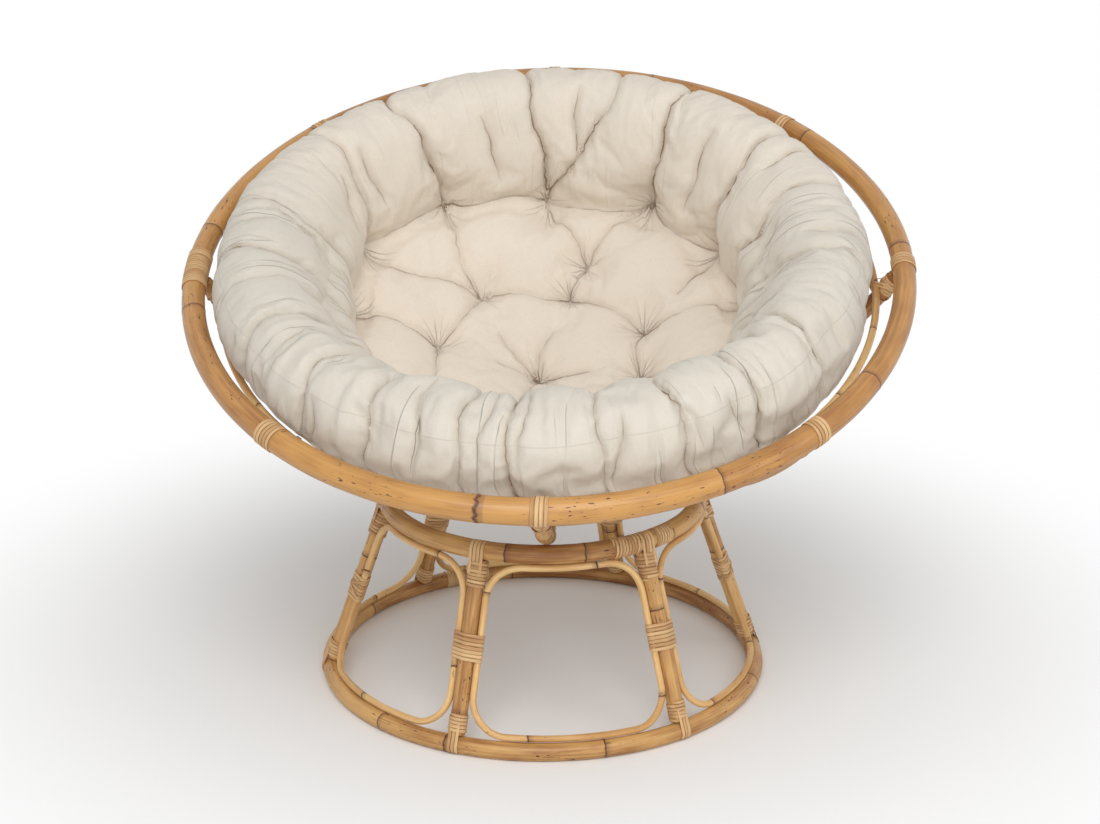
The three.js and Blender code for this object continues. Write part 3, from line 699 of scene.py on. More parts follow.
def even_scars(total, gap, seed, margin=30 * MM):
    """Distances of growth rings a pole's usual step apart, a little unevenly."""
    rng = np.random.default_rng(seed)
    places = []
    place = margin + gap * rng.random()
    while place < total - margin:
        places.append(place)
        place += gap * (0.8 + 0.4 * rng.random())
    return places


def ring_line(radius, height, start):
    """Points and outward directions along a level ring."""
    azimuths = np.linspace(start, start + TURN, int(radius * TURN / LINE_STEP) + 2)
    outward = outward_at(azimuths)
    return outward * radius + UP * height, outward


def ring_scars(radius, start, azimuths):
    """Distances along a ring of growth rings at some azimuths in degrees."""
    return [radius * ((math.radians(azimuth) - start) % TURN) for azimuth in azimuths]


def ring_frame(azimuth, radius, height, in_bowl=False):
    """Frames along a level ring of the base or, in the bowl's own frame, of the bowl."""

    def frame_at(distances):
        outward = outward_at(azimuth + distances / radius)
        axis = outward_at(azimuth + distances / radius + TURN / 4)
        up = np.broadcast_to(UP, outward.shape)
        origin = outward * radius + up * height
        if in_bowl:
            return bowl_point(origin), bowl_direction(axis), bowl_direction(outward), bowl_direction(up)
        return origin + BASE_CENTRE, axis, outward, up

    return frame_at


# Strands of peel

STRAND_ACROSS = np.array([-0.86, -1.0, -0.93, -0.6, 0.0, 0.6, 0.93, 1.0, 0.86])
STRAND_HEIGHT = np.array([0.0, 0.32, 0.70, 0.95, 1.0, 0.95, 0.70, 0.32, 0.0])
# Width of a strand as a share of its pitch, on the base and on the rim
STRAND_FILL = 0.93
RIM_STRAND_FILL = 0.92
# Clearances of a strand from its pole, of a strap from its poles and of a collar from a strap
STRAND_CLEARANCE = 0.06 * MM
STRAP_GAP = 0.1 * MM
# A strap's pitch as a share of the rim's, how far it runs straight before it bends round a ring, its
# steps, and the play of its strands
STRAP_PITCH_SHARE = 0.9
STRAP_STRAIGHT = 2 * MM
STRAP_STEP = 1.2 * MM
STRAP_PLAY = 0.12 * MM


def strand_skin(bundle, middles, normals, across, width, height, tone, along=0.0):
    """Adds one strand that lies on a line: flat underneath and rounded on top."""
    run = run_length(middles)
    width = np.broadcast_to(width, len(middles))
    height = np.broadcast_to(height, len(middles))
    sideways = STRAND_ACROSS[None, :, None] * (width / 2)[:, None, None] * across[:, None]
    upwards = STRAND_HEIGHT[None, :, None] * height[:, None, None] * normals[:, None]
    sections = middles[:, None] + sideways + upwards
    tone = np.broadcast_to(tone, len(middles))
    fibres = np.empty(sections.shape)
    fibres[..., 0] = STRAND_ACROSS
    fibres[..., 1] = (run + along)[:, None]
    fibres[..., 2] = tone[:, None]
    bundle.add(sections, fibres)


def round_outline(shapes, points=48):
    """Evenly spaced points, with outward directions, of a cord drawn tight round ellipses in a plane.

    Each ellipse is its middle across and up, and its two half widths.
    """
    angles = np.linspace(0, TURN, 1440, endpoint=False)
    normals = np.stack([np.cos(angles), np.sin(angles)], -1)
    found = []
    reach = []
    for x, y, half_x, half_y in shapes:
        halves = np.array([half_x, half_y])
        edge = normals * halves**2 / np.linalg.norm(normals * halves, axis=-1, keepdims=True)
        edge = edge + np.array([x, y])
        found.append(edge)
        reach.append(np.sum(edge * normals, -1))
    furthest = np.argmax(reach, 0)
    outline = np.array(found)[furthest, np.arange(len(angles))]
    outline = np.vstack([outline, outline[:1]])
    normals = np.vstack([normals, normals[:1]])
    run = run_length(outline)
    even = np.linspace(0, run[-1], points, endpoint=False)
    return at_lengths(outline, run, even), unit(at_lengths(normals, run, even))


def wind(bundle, frame_at, outline, loops, pitch, width, height, seed, start=0.0, press=None, lift=0.0):
    """Winds one strand round an outline; frame_at gives the place and directions along its axis.

    press gives the share of its thickness that a strand keeps at each direction round the axis.
    """
    sizes = chosen("bindings")
    rng = np.random.default_rng(seed)
    points, normals = outline
    steps = len(points)
    turns = np.arange(int(loops * steps) + 1) / steps
    index = (np.round((turns + start) * steps)).astype(int) % steps
    play = np.interp(turns, np.arange(int(loops) + 2), rng.normal(0, 1, int(loops) + 2))
    distances = pitch * (turns - loops / 2) + sizes.strand_play * play
    origin, axis, right, up = frame_at(distances)
    flat, facing = points[index], normals[index]
    normal = right * facing[:, :1] + up * facing[:, 1:]
    tuck = smooth(np.minimum(turns, loops - turns), 0, 0.12)
    middles = origin + right * flat[:, :1] + up * flat[:, 1:]
    middles = middles + normal * (STRAND_CLEARANCE + lift * tuck)[:, None]
    keep = press(np.arctan2(facing[:, 1], facing[:, 0])) if press else 1.0
    tones = rng.random(int(loops) + 2)
    tone = tones[np.floor(turns).astype(int)]
    width = width * (0.55 + 0.45 * tuck)
    height = height * keep * (0.3 + 0.7 * tuck)
    strand_skin(bundle, middles, normal, axis, width, height, tone, rng.random() * 9)


def straight_frame(middle, axis, right, up):
    """Frames along a straight axis."""

    def frame_at(distances):
        origin = middle + axis * distances[:, None]
        return origin, *(np.broadcast_to(direction, origin.shape) for direction in (axis, right, up))

    return frame_at


# Base


class Leg:
    """A leg's foot and head on the two rings' centre lines, and three directions."""

    def __init__(self, azimuth):
        sizes = chosen("base")
        outward = outward_at(azimuth)
        self.foot = BASE_CENTRE + outward * sizes.floor_ring_radius + UP * floor_height()
        self.head = BASE_CENTRE + outward * sizes.top_ring_radius + UP * sizes.top_ring_height
        self.slant = np.linalg.norm(self.head - self.foot)
        self.up = (self.head - self.foot) / self.slant
        self.side = np.array([-outward[1], outward[0], 0])
        self.out = np.cross(self.side, self.up)


def floor_height():
    """Height of the floor ring's centre line: its pole has worn a narrow flat underneath."""
    sizes = chosen("base")
    return sizes.floor_pole_radius * math.cos(TURN / 16)


def leg_lean():
    sizes = chosen("base")
    inwards = sizes.floor_ring_radius - sizes.top_ring_radius
    return math.atan2(inwards, sizes.top_ring_height - floor_height())


def cone_radius(height, slant):
    """Radius, at a height along a leg, of the cone that the legs stand in."""
    sizes = chosen("base")
    return sizes.floor_ring_radius + (sizes.top_ring_radius - sizes.floor_ring_radius) * height / slant


def all_legs():
    sizes = chosen("base")
    return [Leg(sizes.first_leg - TURN * i / sizes.leg_count) for i in range(sizes.leg_count)]


def window_outline():
    """Flat outline of a window cane with rounded corners, from its left side's middle and down."""
    sizes = chosen("base")
    leg = Leg(0.0)
    low = sizes.floor_pole_radius + sizes.window_gap + sizes.window_cane_radius
    high = leg.slant - sizes.top_pole_radius - sizes.window_gap - sizes.window_cane_radius
    beside = sizes.leg_radius + sizes.window_gap + sizes.window_cane_radius

    def edge(height):
        return cone_radius(height, leg.slant) * TURN / sizes.leg_count / 2 - beside

    corners = [
        (np.array([-edge(low), low]), sizes.window_foot_corner),
        (np.array([edge(low), low]), sizes.window_foot_corner),
        (np.array([edge(high), high]), sizes.window_top_corner),
        (np.array([-edge(high), high]), sizes.window_top_corner),
    ]
    middle = (low + high) / 2
    start = np.array([-edge(middle), middle])
    outline = [start]
    for i, (corner, radius) in enumerate(corners):
        before = unit(corners[i - 1][0] - corner)
        after = unit(corners[(i + 1) % 4][0] - corner)
        half = math.acos(float(before @ after)) / 2
        centre = corner + unit(before + after) * radius / math.sin(half)
        first = corner + before * radius / math.tan(half) - centre
        last = corner + after * radius / math.tan(half) - centre
        begin, end = math.atan2(first[1], first[0]), math.atan2(last[1], last[0])
        end += TURN if end < begin else 0
        for way in np.linspace(begin, end, 24):
            outline.append(centre + radius * np.array([math.cos(way), math.sin(way)]))
    outline.append(start)
    return np.array(outline), leg.slant


def window_line(azimuth):
    """Centre line of a window cane, laid on the cone that the legs stand in."""
    sizes = chosen("base")
    flat, slant = window_outline()
    run = run_length(flat)
    flat = at_lengths(flat, run, np.linspace(0, run[-1], int(run[-1] / LINE_STEP)))
    radii = cone_radius(flat[:, 1], slant)
    azimuths = azimuth + flat[:, 0] / radii
    heights = floor_height() + (sizes.top_ring_height - floor_height()) * flat[:, 1] / slant
    level = outward_at(azimuths)
    points = BASE_CENTRE + level * radii[:, None] + UP * heights[:, None]
    return points, level * math.cos(leg_lean()) + UP * math.sin(leg_lean())


# Growth rings that the photograph shows, by azimuth in degrees, with the hidden ones between
FLOOR_RING_SCARS = (104, 154, 229.5, 250, 290, 347, 18, 61)
TOP_RING_SCARS = (20, 75, 128, 196, 262, 289, 350)
# Azimuth in degrees at which the floor ring closes
FLOOR_RING_SPLICE = 118


class PAPASAN_OT_base_rings(bpy.types.Operator):
    """Build the two rings of the base"""

    bl_idname = "papasan.base_rings"
    bl_label = "Base rings"

    def execute(self, context):
        sizes = chosen("base")
        floor_ring = (sizes.floor_ring_radius, floor_height(), math.radians(FLOOR_RING_SPLICE))
        top_ring = (sizes.top_ring_radius, sizes.top_ring_height, sizes.first_leg)
        rings = (
            ("floor_ring", floor_ring, sizes.floor_pole_radius, FLOOR_RING_SCARS, 3),
            ("top_ring", top_ring, sizes.top_pole_radius, TOP_RING_SCARS, 5),
        )
        for name, (radius, height, splice), pole, azimuths, seed in rings:
            points, outward = ring_line(radius, height, splice)
            points = points + BASE_CENTRE
            scars = ring_scars(radius, splice, azimuths)
            ring = add_pole(f"{name}_pole", points, outward, pole, scars, seed=seed, floor=0.0)
            dress(ring, "base", "base_poles", name)
        return {"FINISHED"}


# Share of each leg's length at which its growth ring shows
LEG_SCARS = (0.66, 0.12, 0.70, 0.58, 0.36, 0.62)


class PAPASAN_OT_legs(bpy.types.Operator):
    """Build the legs between the two rings"""

    bl_idname = "papasan.legs"
    bl_label = "Legs"

    def execute(self, context):
        sizes = chosen("base")
        gap = chosen("bowl").hoop_gap
        for i, leg in enumerate(all_legs()):
            foot = sizes.floor_pole_radius + gap
            head = leg.slant - sizes.top_pole_radius - gap
            ways = np.linspace(foot, head, 80)
            points = leg.foot + leg.up * ways[:, None]
            outward = np.broadcast_to(leg.out, points.shape)
            scars = [(head - foot) * LEG_SCARS[i]]
            piece = add_pole(f"leg_pole_{i + 1}", points, outward, sizes.leg_radius, scars, seed=20 + i)
            dress(piece, "base", "base_poles", f"leg_{i + 1}")
        return {"FINISHED"}


class PAPASAN_OT_window_canes(bpy.types.Operator):
    """Build the thin rounded canes between the legs"""

    bl_idname = "papasan.window_canes"
    bl_label = "Window canes"

    def execute(self, context):
        sizes = chosen("base")
        for i in range(sizes.leg_count):
            azimuth = sizes.first_leg - TURN * (i + 0.5) / sizes.leg_count
            points, outward = window_line(azimuth)
            total = run_length(points)[-1]
            scars = even_scars(total, WINDOW_RING_GAP, 40 + i)
            name = f"window_cane_{i + 1}"
            cane = sizes.window_cane_radius
            piece = add_pole(name + "_skin", points, outward, cane, scars, CANE_SIDES, 40 + i, True)
            dress(piece, "base", "thin_canes", name)
        return {"FINISHED"}


def pressed_by_bowl(middle):
    """Share of its thickness that a strand keeps round the top ring, where the bowl rests on it."""

    def press(angles):
        away = np.abs((angles - middle + math.pi) % TURN - math.pi)
        return 0.14 + 0.86 * smooth(away, math.radians(24), math.radians(36))

    return press


def seat_angle():
    """Angle round the top ring's pole, up from outwards, at which the bowl rests on it."""
    sizes = chosen("base")
    return math.atan2(BOWL_CENTRE[2] - sizes.top_ring_height, -sizes.top_ring_radius)


# Turns of a leg's middle binding, and share of its thickness that a strap keeps at its end and
# where it leaves the collar
MIDDLE_LOOPS = 7
STRAP_ENDS = [0.4, 1]
# The left and the right leg have crossed turns over their middle binding
CROSSED_LEGS = (3, 6)


class PAPASAN_OT_leg_bindings(bpy.types.Operator):
    """Bind each leg at its middle, its head and its foot"""

    bl_idname = "papasan.leg_bindings"
    bl_label = "Leg bindings"

    def middle(self, bundle, leg, crossed, seed):
        """Winds a binding round a leg and the canes beside it."""
        sizes = chosen("base")
        peel = chosen("bindings")
        beside = sizes.leg_radius + sizes.window_gap + sizes.window_cane_radius
        cone = (sizes.floor_ring_radius + sizes.top_ring_radius) / 2
        sink = beside**2 / (2 * cone) * math.cos(leg_lean())
        cane = sizes.window_cane_radius
        canes = [(side, -sink, cane, cane) for side in (beside, -beside)]
        outline = round_outline([(0, 0, sizes.leg_radius, sizes.leg_radius), *canes], 64)
        frame_at = straight_frame(leg.foot + leg.up * leg.slant / 2, leg.up, leg.side, leg.out)
        pitch, height = peel.middle_pitch, peel.strand_height
        width, lift = pitch * STRAND_FILL, height * 0.9
        wind(bundle, frame_at, outline, MIDDLE_LOOPS, pitch, width, height, seed, start=0.62)
        for slope in (-1, 1) if crossed else ():
            climb, number = slope * pitch * 8.6, seed + 7 + slope
            narrow = width * 0.9
            wind(bundle, frame_at, outline, 0.72, climb, narrow, height, number, start=0.9, lift=lift)

    def collar(self, bundle, leg, ring, loops, straps, seed):
        """Winds a collar round a leg beside a ring, over the ends of the strap that holds the ring."""
        peel = chosen("bindings")
        radius = chosen("base").leg_radius
        origin, way, pole = ring
        middle = origin + leg.up * way * (pole + peel.collar_start + loops * peel.collar_pitch / 2)
        shapes = [(0, 0, radius, radius)]
        shapes += [(0, side * peel.strand_height, radius, radius - STRAP_GAP) for side in straps]
        frame_at = straight_frame(middle, leg.up, leg.side, leg.out)
        outline = round_outline(shapes)
        pitch, height = peel.collar_pitch, peel.strand_height
        width = pitch * STRAND_FILL
        wind(bundle, frame_at, outline, loops, pitch, width, height, seed, start=0.4)

    def strap(self, bundle, leg, ring, strands, straps, bend, seed):
        """Lays strands side by side from under a leg's collar round the ring's pole.

        straps are the sides of the leg on which its ends lie, and bend the angles round the pole, up
        from outwards, with the share of its thickness that it keeps at each.
        """
        peel = chosen("bindings")
        origin, way, pole = ring
        angles, keep = bend
        beside = chosen("base").leg_radius + STRAP_GAP
        collar = way * (pole + peel.collar_start + 3 * peel.collar_pitch)
        straight = way * (pole + STRAP_STRAIGHT)
        round_pole = (pole + STRAP_GAP) * np.stack([np.cos(angles), np.sin(angles)], -1)
        flat = [[beside, collar], [beside, straight], *round_pole]
        keep = [*STRAP_ENDS, *keep]
        if len(straps) > 1:
            flat += [[-beside, straight], [-beside, collar]]
            keep += STRAP_ENDS[::-1]
        flat = np.array(flat)
        run = run_length(flat)
        places = np.linspace(0, run[-1], int(run[-1] / STRAP_STEP))
        flat = at_lengths(flat, run, places)
        height = peel.strand_height * np.interp(places, run, keep)
        ahead = unit(np.gradient(flat, axis=0))
        facing = np.stack([ahead[:, 1], -ahead[:, 0]], -1)
        if np.sum(facing * flat) < 0:
            facing = -facing
        middles = origin + leg.out * flat[:, :1] + leg.up * flat[:, 1:]
        normals = leg.out * facing[:, :1] + leg.up * facing[:, 1:]
        across = np.broadcast_to(leg.side, middles.shape)
        pitch = peel.strand_pitch * STRAP_PITCH_SHARE
        width = pitch * STRAND_FILL
        rng = np.random.default_rng(seed)
        for i in range(strands):
            aside = (i - (strands - 1) / 2) * pitch + rng.normal(0, STRAP_PLAY)
            tone, along = rng.random(), rng.random() * 9
            strand_skin(bundle, middles + leg.side * aside, normals, across, width, height, tone, along)

    def ends(self):
        """Each end's turns of the collar, strands, sides and bend of the strap, and seed."""
        over = np.linspace(-0.25, math.pi + 0.25, 48)
        pressed = pressed_by_bowl(seat_angle() - leg_lean())(over)
        under = np.linspace(0.25, -math.radians(78), 30)
        kept_share = 1 - 0.9 * smooth(-under, math.radians(48), math.radians(76))
        return {"head": (7, 4, (-1, 1), (over, pressed), 120), "foot": (5, 3, (1,), (under, kept_share), 140)}

    def execute(self, context):
        sizes = chosen("base")
        ends = self.ends()
        for i, leg in enumerate(all_legs(), 1):
            bundles = {name: Bundle() for name in ("middle", *ends)}
            self.middle(bundles["middle"], leg, i in CROSSED_LEGS, 100 + i)
            rings = {
                "head": (leg.head, -1, sizes.top_pole_radius),
                "foot": (leg.foot, 1, sizes.floor_pole_radius),
            }
            for name, (loops, strands, straps, bend, seed) in ends.items():
                self.collar(bundles[name], leg, rings[name], loops, straps, seed + i)
                self.strap(bundles[name], leg, rings[name], strands, straps, bend, seed + i + 1)
            for name, bundle in bundles.items():
                piece = bundle.build(f"{name}_lashing_{i}")
                dress(piece, "base", "peel_bindings", f"{name}_binding_{i}")
        return {"FINISHED"}


class PAPASAN_OT_ring_splices(bpy.types.Operator):
    """Wrap the two rings where their pole's ends meet"""

    bl_idname = "papasan.ring_splices"
    bl_label = "Ring splices"

    def wrap(self, name, ring, azimuth, loops, seed, press=None):
        peel = chosen("bindings")
        radius, height, pole = ring
        frame_at = ring_frame(math.radians(azimuth), radius, height)
        bundle = Bundle()
        outline = round_outline([(0, 0, pole, pole)])
        pitch = peel.splice_pitch
        thickness = peel.strand_height * 0.85
        width = pitch * STRAND_FILL
        wind(bundle, frame_at, outline, loops, pitch, width, thickness, seed, start=0.1, press=press)
        for points in bundle.points:
            points[:, 2] = np.maximum(points[:, 2], 0.0)
        dress(bundle.build(name), "base", "peel_bindings")

    def execute(self, context):
        sizes = chosen("base")
        press = pressed_by_bowl(seat_angle())
        ring = (sizes.top_ring_radius, sizes.top_ring_height, sizes.top_pole_radius)
        # Azimuths in degrees of each wrap's middle; the leg's head binding parts the top ring's wrap in two
        for label, azimuth, loops in (("left", -55.6, 9), ("right", -39.6, 8)):
            self.wrap(f"top_ring_splice_{label}", ring, azimuth, loops, 160 + loops, press)
        ring = (sizes.floor_ring_radius, floor_height(), sizes.floor_pole_radius)
        self.wrap("floor_ring_splice", ring, FLOOR_RING_SPLICE, 16, 180)
        return {"FINISHED"}


# Bowl


def rim_drop():
    sizes = chosen("bowl")
    return math.sqrt(sizes.bowl_radius**2 - sizes.rim_radius**2)


def rim_pole_radius(azimuths):
    """The rim's pole is thickest in front and thinner behind."""
    sizes = chosen("bowl")
    front = 0.5 - 0.5 * np.sin(azimuths)
    return sizes.rim_back_pole + (sizes.rim_front_pole - sizes.rim_back_pole) * front**2


# Turns of each rim binding, rib by rib from the right side round the back
RIM_BINDING_LOOPS = (4, 3, 3, 4, 17, 5, 4, 4)
SPLICE_RIB = 4
# Azimuths in degrees at which the rim closes and of its growth rings
RIM_SPLICE = 183
RIM_SCARS = (7, 42.5, 75, 107, 140, 171.75, 193.5, 229, 264, 299.75, 332.5)
BROAD_RIM_SCARS = (264,)


def rib_azimuths():
    sizes = chosen("bowl")
    return [sizes.first_rib + TURN * i / sizes.rib_count for i in range(sizes.rib_count)]


def rib_end(azimuth):
    """Angle off the bowl's pole at which a rib ends against the rim's binding."""
    sizes = chosen("bowl")
    peel = chosen("bindings")
    lashing = float(rim_pole_radius(azimuth)) + peel.strand_height + 2 * sizes.hoop_gap
    rim_angle = math.acos(rim_drop() / sizes.bowl_radius)
    return rim_angle - math.asin(lashing * (1 + sizes.rib_radius / sizes.bowl_radius) / sizes.bowl_radius)


class PAPASAN_OT_rim(bpy.types.Operator):
    """Build the rim, whose pole swells towards the front"""

    bl_idname = "papasan.rim"
    bl_label = "Rim"

    def execute(self, context):
        sizes = chosen("bowl")
        start = math.radians(RIM_SPLICE)
        points, outward = ring_line(sizes.rim_radius, -rim_drop(), start)
        azimuths = np.arctan2(outward[:, 1], outward[:, 0])
        scars = ring_scars(sizes.rim_radius, start, RIM_SCARS)
        broad = ring_scars(sizes.rim_radius, start, BROAD_RIM_SCARS)
        radius = rim_pole_radius(azimuths)
        line, out = bowl_point(points), bowl_direction(outward)
        piece = add_pole("rim_pole_skin", line, out, radius, scars, RIM_SIDES, 11, broad=broad)
        dress(piece, "bowl", "rim_pole", "rim")
        return {"FINISHED"}


class PAPASAN_OT_ribs(bpy.types.Operator):
    """Build the ribs from the hub to the rim"""

    bl_idname = "papasan.ribs"
    bl_label = "Ribs"

    def execute(self, context):
        sizes = chosen("bowl")
        start = math.asin(sizes.hub_radius / sizes.bowl_radius)
        for i, azimuth in enumerate(rib_azimuths()):
            angles = np.linspace(start, rib_end(azimuth), 300)
            outward = sphere_direction(angles, np.full_like(angles, azimuth))
            total = sizes.bowl_radius * (angles[-1] - angles[0])
            scars = even_scars(total, RIB_RING_GAP, 60 + i, 50 * MM)
            points = bowl_point(outward * sizes.bowl_radius)
            out = bowl_direction(outward)
            piece = add_pole(f"rib_pole_{i + 1}", points, out, sizes.rib_radius, scars, RIB_SIDES, 60 + i)
            dress(piece, "bowl", "base_poles", f"rib_{i + 1}")
        return {"FINISHED"}


def hoop_radii():
    """Radius of each hoop's centre line, and of the sphere that they all touch."""
    sizes = chosen("bowl")
    sphere = sizes.bowl_radius - sizes.rib_radius - sizes.hoop_gap - sizes.hoop_cane_radius
    upper = math.sqrt(sphere**2 - (rim_drop() + sizes.upper_hoop_drop) ** 2)
    names = ("upper_hoop", "middle_hoop", "lower_hoop", "hub_hoop")
    return dict(zip(names, (upper, sizes.middle_hoop, sizes.lower_hoop, sizes.hub_hoop))), sphere


# Hoops without lashings, because the top ring slides along the ribs there
BARE_HOOPS = ("lower_hoop",)


class PAPASAN_OT_hoops(bpy.types.Operator):
    """Build the hoops of cane inside the ribs, and lash them to each rib"""

    bl_idname = "papasan.hoops"
    bl_label = "Hoops"

    def lashing(self, bundle, direction, azimuth, sphere, seed):
        sizes = chosen("bowl")
        peel = chosen("bindings")
        normal = bowl_direction(direction)
        round_way = bowl_direction(outward_at(azimuth + TURN / 4))
        rib_way = np.cross(round_way, normal)
        origin = BOWL_CENTRE + normal * sizes.bowl_radius
        slant = math.sqrt(2)
        rib, cane = sizes.rib_radius, sizes.hoop_cane_radius
        below = sphere - sizes.bowl_radius
        outline = round_outline([(0, 0, rib * slant, rib), (0, below, cane * slant, cane)], 40)
        for i, way in enumerate((-1, 1)):
            axis = unit(rib_way + way * round_way)
            right = unit(rib_way - way * round_way)
            frame_at = straight_frame(origin, axis, right, normal)
            width, height = peel.lashing_width, peel.strand_height * 0.8
            lift = i * 0.7 * peel.strand_height
            pitch = width * 1.1
            wind(bundle, frame_at, outline, 2, pitch, width, height, seed + i, start=0.2, lift=lift)

    def execute(self, context):
        sizes = chosen("bowl")
        radii, sphere = hoop_radii()
        for i, (name, radius) in enumerate(radii.items()):
            depth = math.sqrt(sphere**2 - radius**2)
            # The hoops close at the fourth and the fifth rib by turns
            start = sizes.first_rib + TURN / sizes.rib_count * (4 if i % 2 else 3)
            points, outward = ring_line(radius, -depth, start)
            scars = even_scars(radius * TURN, HOOP_RING_GAP, 80 + i)
            line, out, cane = bowl_point(points), bowl_direction(outward), sizes.hoop_cane_radius
            piece = add_pole(f"{name}_cane", line, out, cane, scars, CANE_SIDES, 80 + i)
            dress(piece, "bowl", "thin_canes", name)
            if name in BARE_HOOPS:
                continue
            bundle = Bundle()
            off_pole = math.asin(radius / sphere)
            for j, azimuth in enumerate(rib_azimuths()):
                direction = sphere_direction(np.array(off_pole), azimuth)
                self.lashing(bundle, direction, azimuth, sphere, 200 + 20 * i + 2 * j)
            dress(bundle.build(f"{name}_lashings"), "bowl", "peel_bindings")
        return {"FINISHED"}


# Distance of the right rib's collar from the rib's end
COLLAR_DROP = 7 * MM


class PAPASAN_OT_rim_bindings(bpy.types.Operator):
    """Bind the rim where each rib meets it, and the right rib below its binding"""

    bl_idname = "papasan.rim_bindings"
    bl_label = "Rim bindings"

    def rib_collar(self):
        sizes = chosen("bowl")
        peel = chosen("bindings")
        azimuth = rib_azimuths()[0]
        loops = 5
        pitch = peel.collar_pitch
        drop = COLLAR_DROP + loops * pitch / 2
        middle = rib_end(azimuth) - drop / sizes.bowl_radius

        def frame_at(distances):
            angles = middle + distances / sizes.bowl_radius
            outward = sphere_direction(angles, np.full_like(angles, azimuth))
            axis = sphere_direction(angles + TURN / 4, np.full_like(angles, azimuth))
            side = np.broadcast_to(outward_at(azimuth + TURN / 4), outward.shape)
            origin = bowl_point(outward * sizes.bowl_radius)
            return origin, bowl_direction(axis), bowl_direction(side), bowl_direction(outward)

        bundle = Bundle()
        outline = round_outline([(0, 0, sizes.rib_radius, sizes.rib_radius)])
        height = peel.strand_height
        width = pitch * STRAND_FILL
        wind(bundle, frame_at, outline, loops, pitch, width, height, 310, start=0.3)
        for slope in (-1, 1):
            climb, width, lift = slope * pitch * 6, pitch * 0.85, height * 0.9
            wind(bundle, frame_at, outline, 0.62, climb, width, height, 320 + slope, start=0.55, lift=lift)
        dress(bundle.build("rib_collar_strands"), "bowl", "peel_bindings", "rib_collar")

    def execute(self, context):
        peel = chosen("bindings")
        rim = chosen("bowl").rim_radius
        height = peel.strand_height
        for i, azimuth in enumerate(rib_azimuths()):
            loops = RIM_BINDING_LOOPS[i]
            pitch = peel.splice_pitch if i == SPLICE_RIB else peel.strand_pitch
            reach = loops * pitch / 2 / rim
            pole = float(np.max(rim_pole_radius(azimuth + np.linspace(-reach, reach, 9))))
            bundle = Bundle()
            outline = round_outline([(0, 0, pole, pole)], 56)
            frame_at = ring_frame(azimuth, rim, -rim_drop(), True)
            width = pitch * RIM_STRAND_FILL
            wind(bundle, frame_at, outline, loops, pitch, width, height, 300 + i, start=0.72)
            dress(bundle.build(f"rim_lashing_{i + 1}"), "bowl", "peel_bindings", f"rim_binding_{i + 1}")
        self.rib_collar()
        return {"FINISHED"}


# Cushion

# Radius and height above the rim's plane of the roll round the seat, from its foot over its crown to
# its outside, as shares of the cushion's radius and of the roll's height
ROLL_SHARES = (
    (0.722, -0.50), (0.738, 0.02), (0.768, 0.48), (0.812, 0.80), (0.868, 0.92), (0.925, 0.88),
    (0.970, 0.64), (0.992, 0.28), (0.990, -0.06),
)
SEAM_KNOT = 6
# Tufts as degrees off the bowl's pole and azimuth: the ring at the roll's foot, and those of the seat
OUTER_TUFTS = (
    (40.1, 94.9), (42.7, 122), (42.6, 148.3), (37.5, 168), (36, 195), (35, 221), (34.5, 247),
    (34.5, 273), (34.5, 299), (35, 325), (35.3, 352), (35.9, 22), (38.5, 42.8), (41.2, 67.1),
)
INNER_TUFTS = (
    (4.9, 121), (25, 124), (22.2, 85.6), (20.5, 42.5), (15.2, 14.8), (20, 335), (21, 292), (21, 248),
    (21, 204), (21.8, 158.8), (28.8, 81.5),
)
# Creases of the seat from tuft to tuft: outer tufts are counted from 0 and inner ones from 100,
# with the share of its way that a crease runs before it fades
SEAT_CREASES = (
    (1, 101, 1.0), (2, 101, 1.0), (101, 102, 1.0), (110, 102, 1.0), (0, 110, 1.0), (13, 110, 1.0),
    (102, 103, 1.0), (11, 103, 1.0), (101, 109, 1.0), (3, 109, 1.0), (109, 108, 1.0), (103, 104, 1.0),
    (104, 105, 1.0), (100, 101, 0.5), (100, 102, 0.5), (100, 109, 0.4), (100, 104, 0.5), (12, 103, 0.5),
    (10, 104, 1.0), (105, 106, 1.0), (106, 107, 1.0), (107, 108, 1.0), (4, 108, 1.0), (5, 108, 1.0),
    (6, 107, 1.0), (7, 106, 1.0), (8, 106, 1.0), (9, 105, 1.0), (100, 106, 1.0), (100, 107, 1.0),
)
# Creases over the roll: azimuth at its foot, on its crown and at its outer edge, and how deep it is
ROLL_CREASES = (
    (94.9, 97, 98, 1.0), (94.9, 78, 76, 0.7), (67.1, 63, 62, 1.0), (42.8, 38, 37, 1.0),
    (22, 19, 18, 0.6), (4, -4, -5, 0.45), (338, 331, 329, 0.8), (318, 313, 313, 0.9),
    (299, 298, 299, 0.85), (286, 284.5, 284.5, 0.55), (273, 269, 269.5, 1.0), (260, 261, 261, 0.6),
    (247, 245, 244, 0.9), (232, 230, 231, 0.6), (218, 213, 213, 0.9), (195, 189, 187, 0.9),
    (168, 172, 172, 0.5), (148.3, 147, 146, 0.6), (122, 127, 128, 1.0),
)

# Short folds that fade at both ends: azimuth and share of the way over the roll where each starts
# and ends
LOOSE_FOLDS = (
    (7, 0.12, 11, 0.45), (19, 0.25, 17, 0.42), (354, 0.3, 352, 0.6), (143, 0.45, 142, 0.15),
    (152, 0.42, 155, 0.12), (174, 0.62, 178, 0.1), (86, 0.55, 87, 0.12), (50, 0.5, 53, 0.1),
    (110, 0.42, 108, 0.1), (342, 0.2, 338, 0.5), (324, 0.3, 322, 0.62), (240, 0.35, 238, 0.62),
    (223, 0.2, 221, 0.6), (204, 0.15, 201, 0.5), (30, 0.5, 31, 0.8), (2, 0.55, 3, 0.85),
)

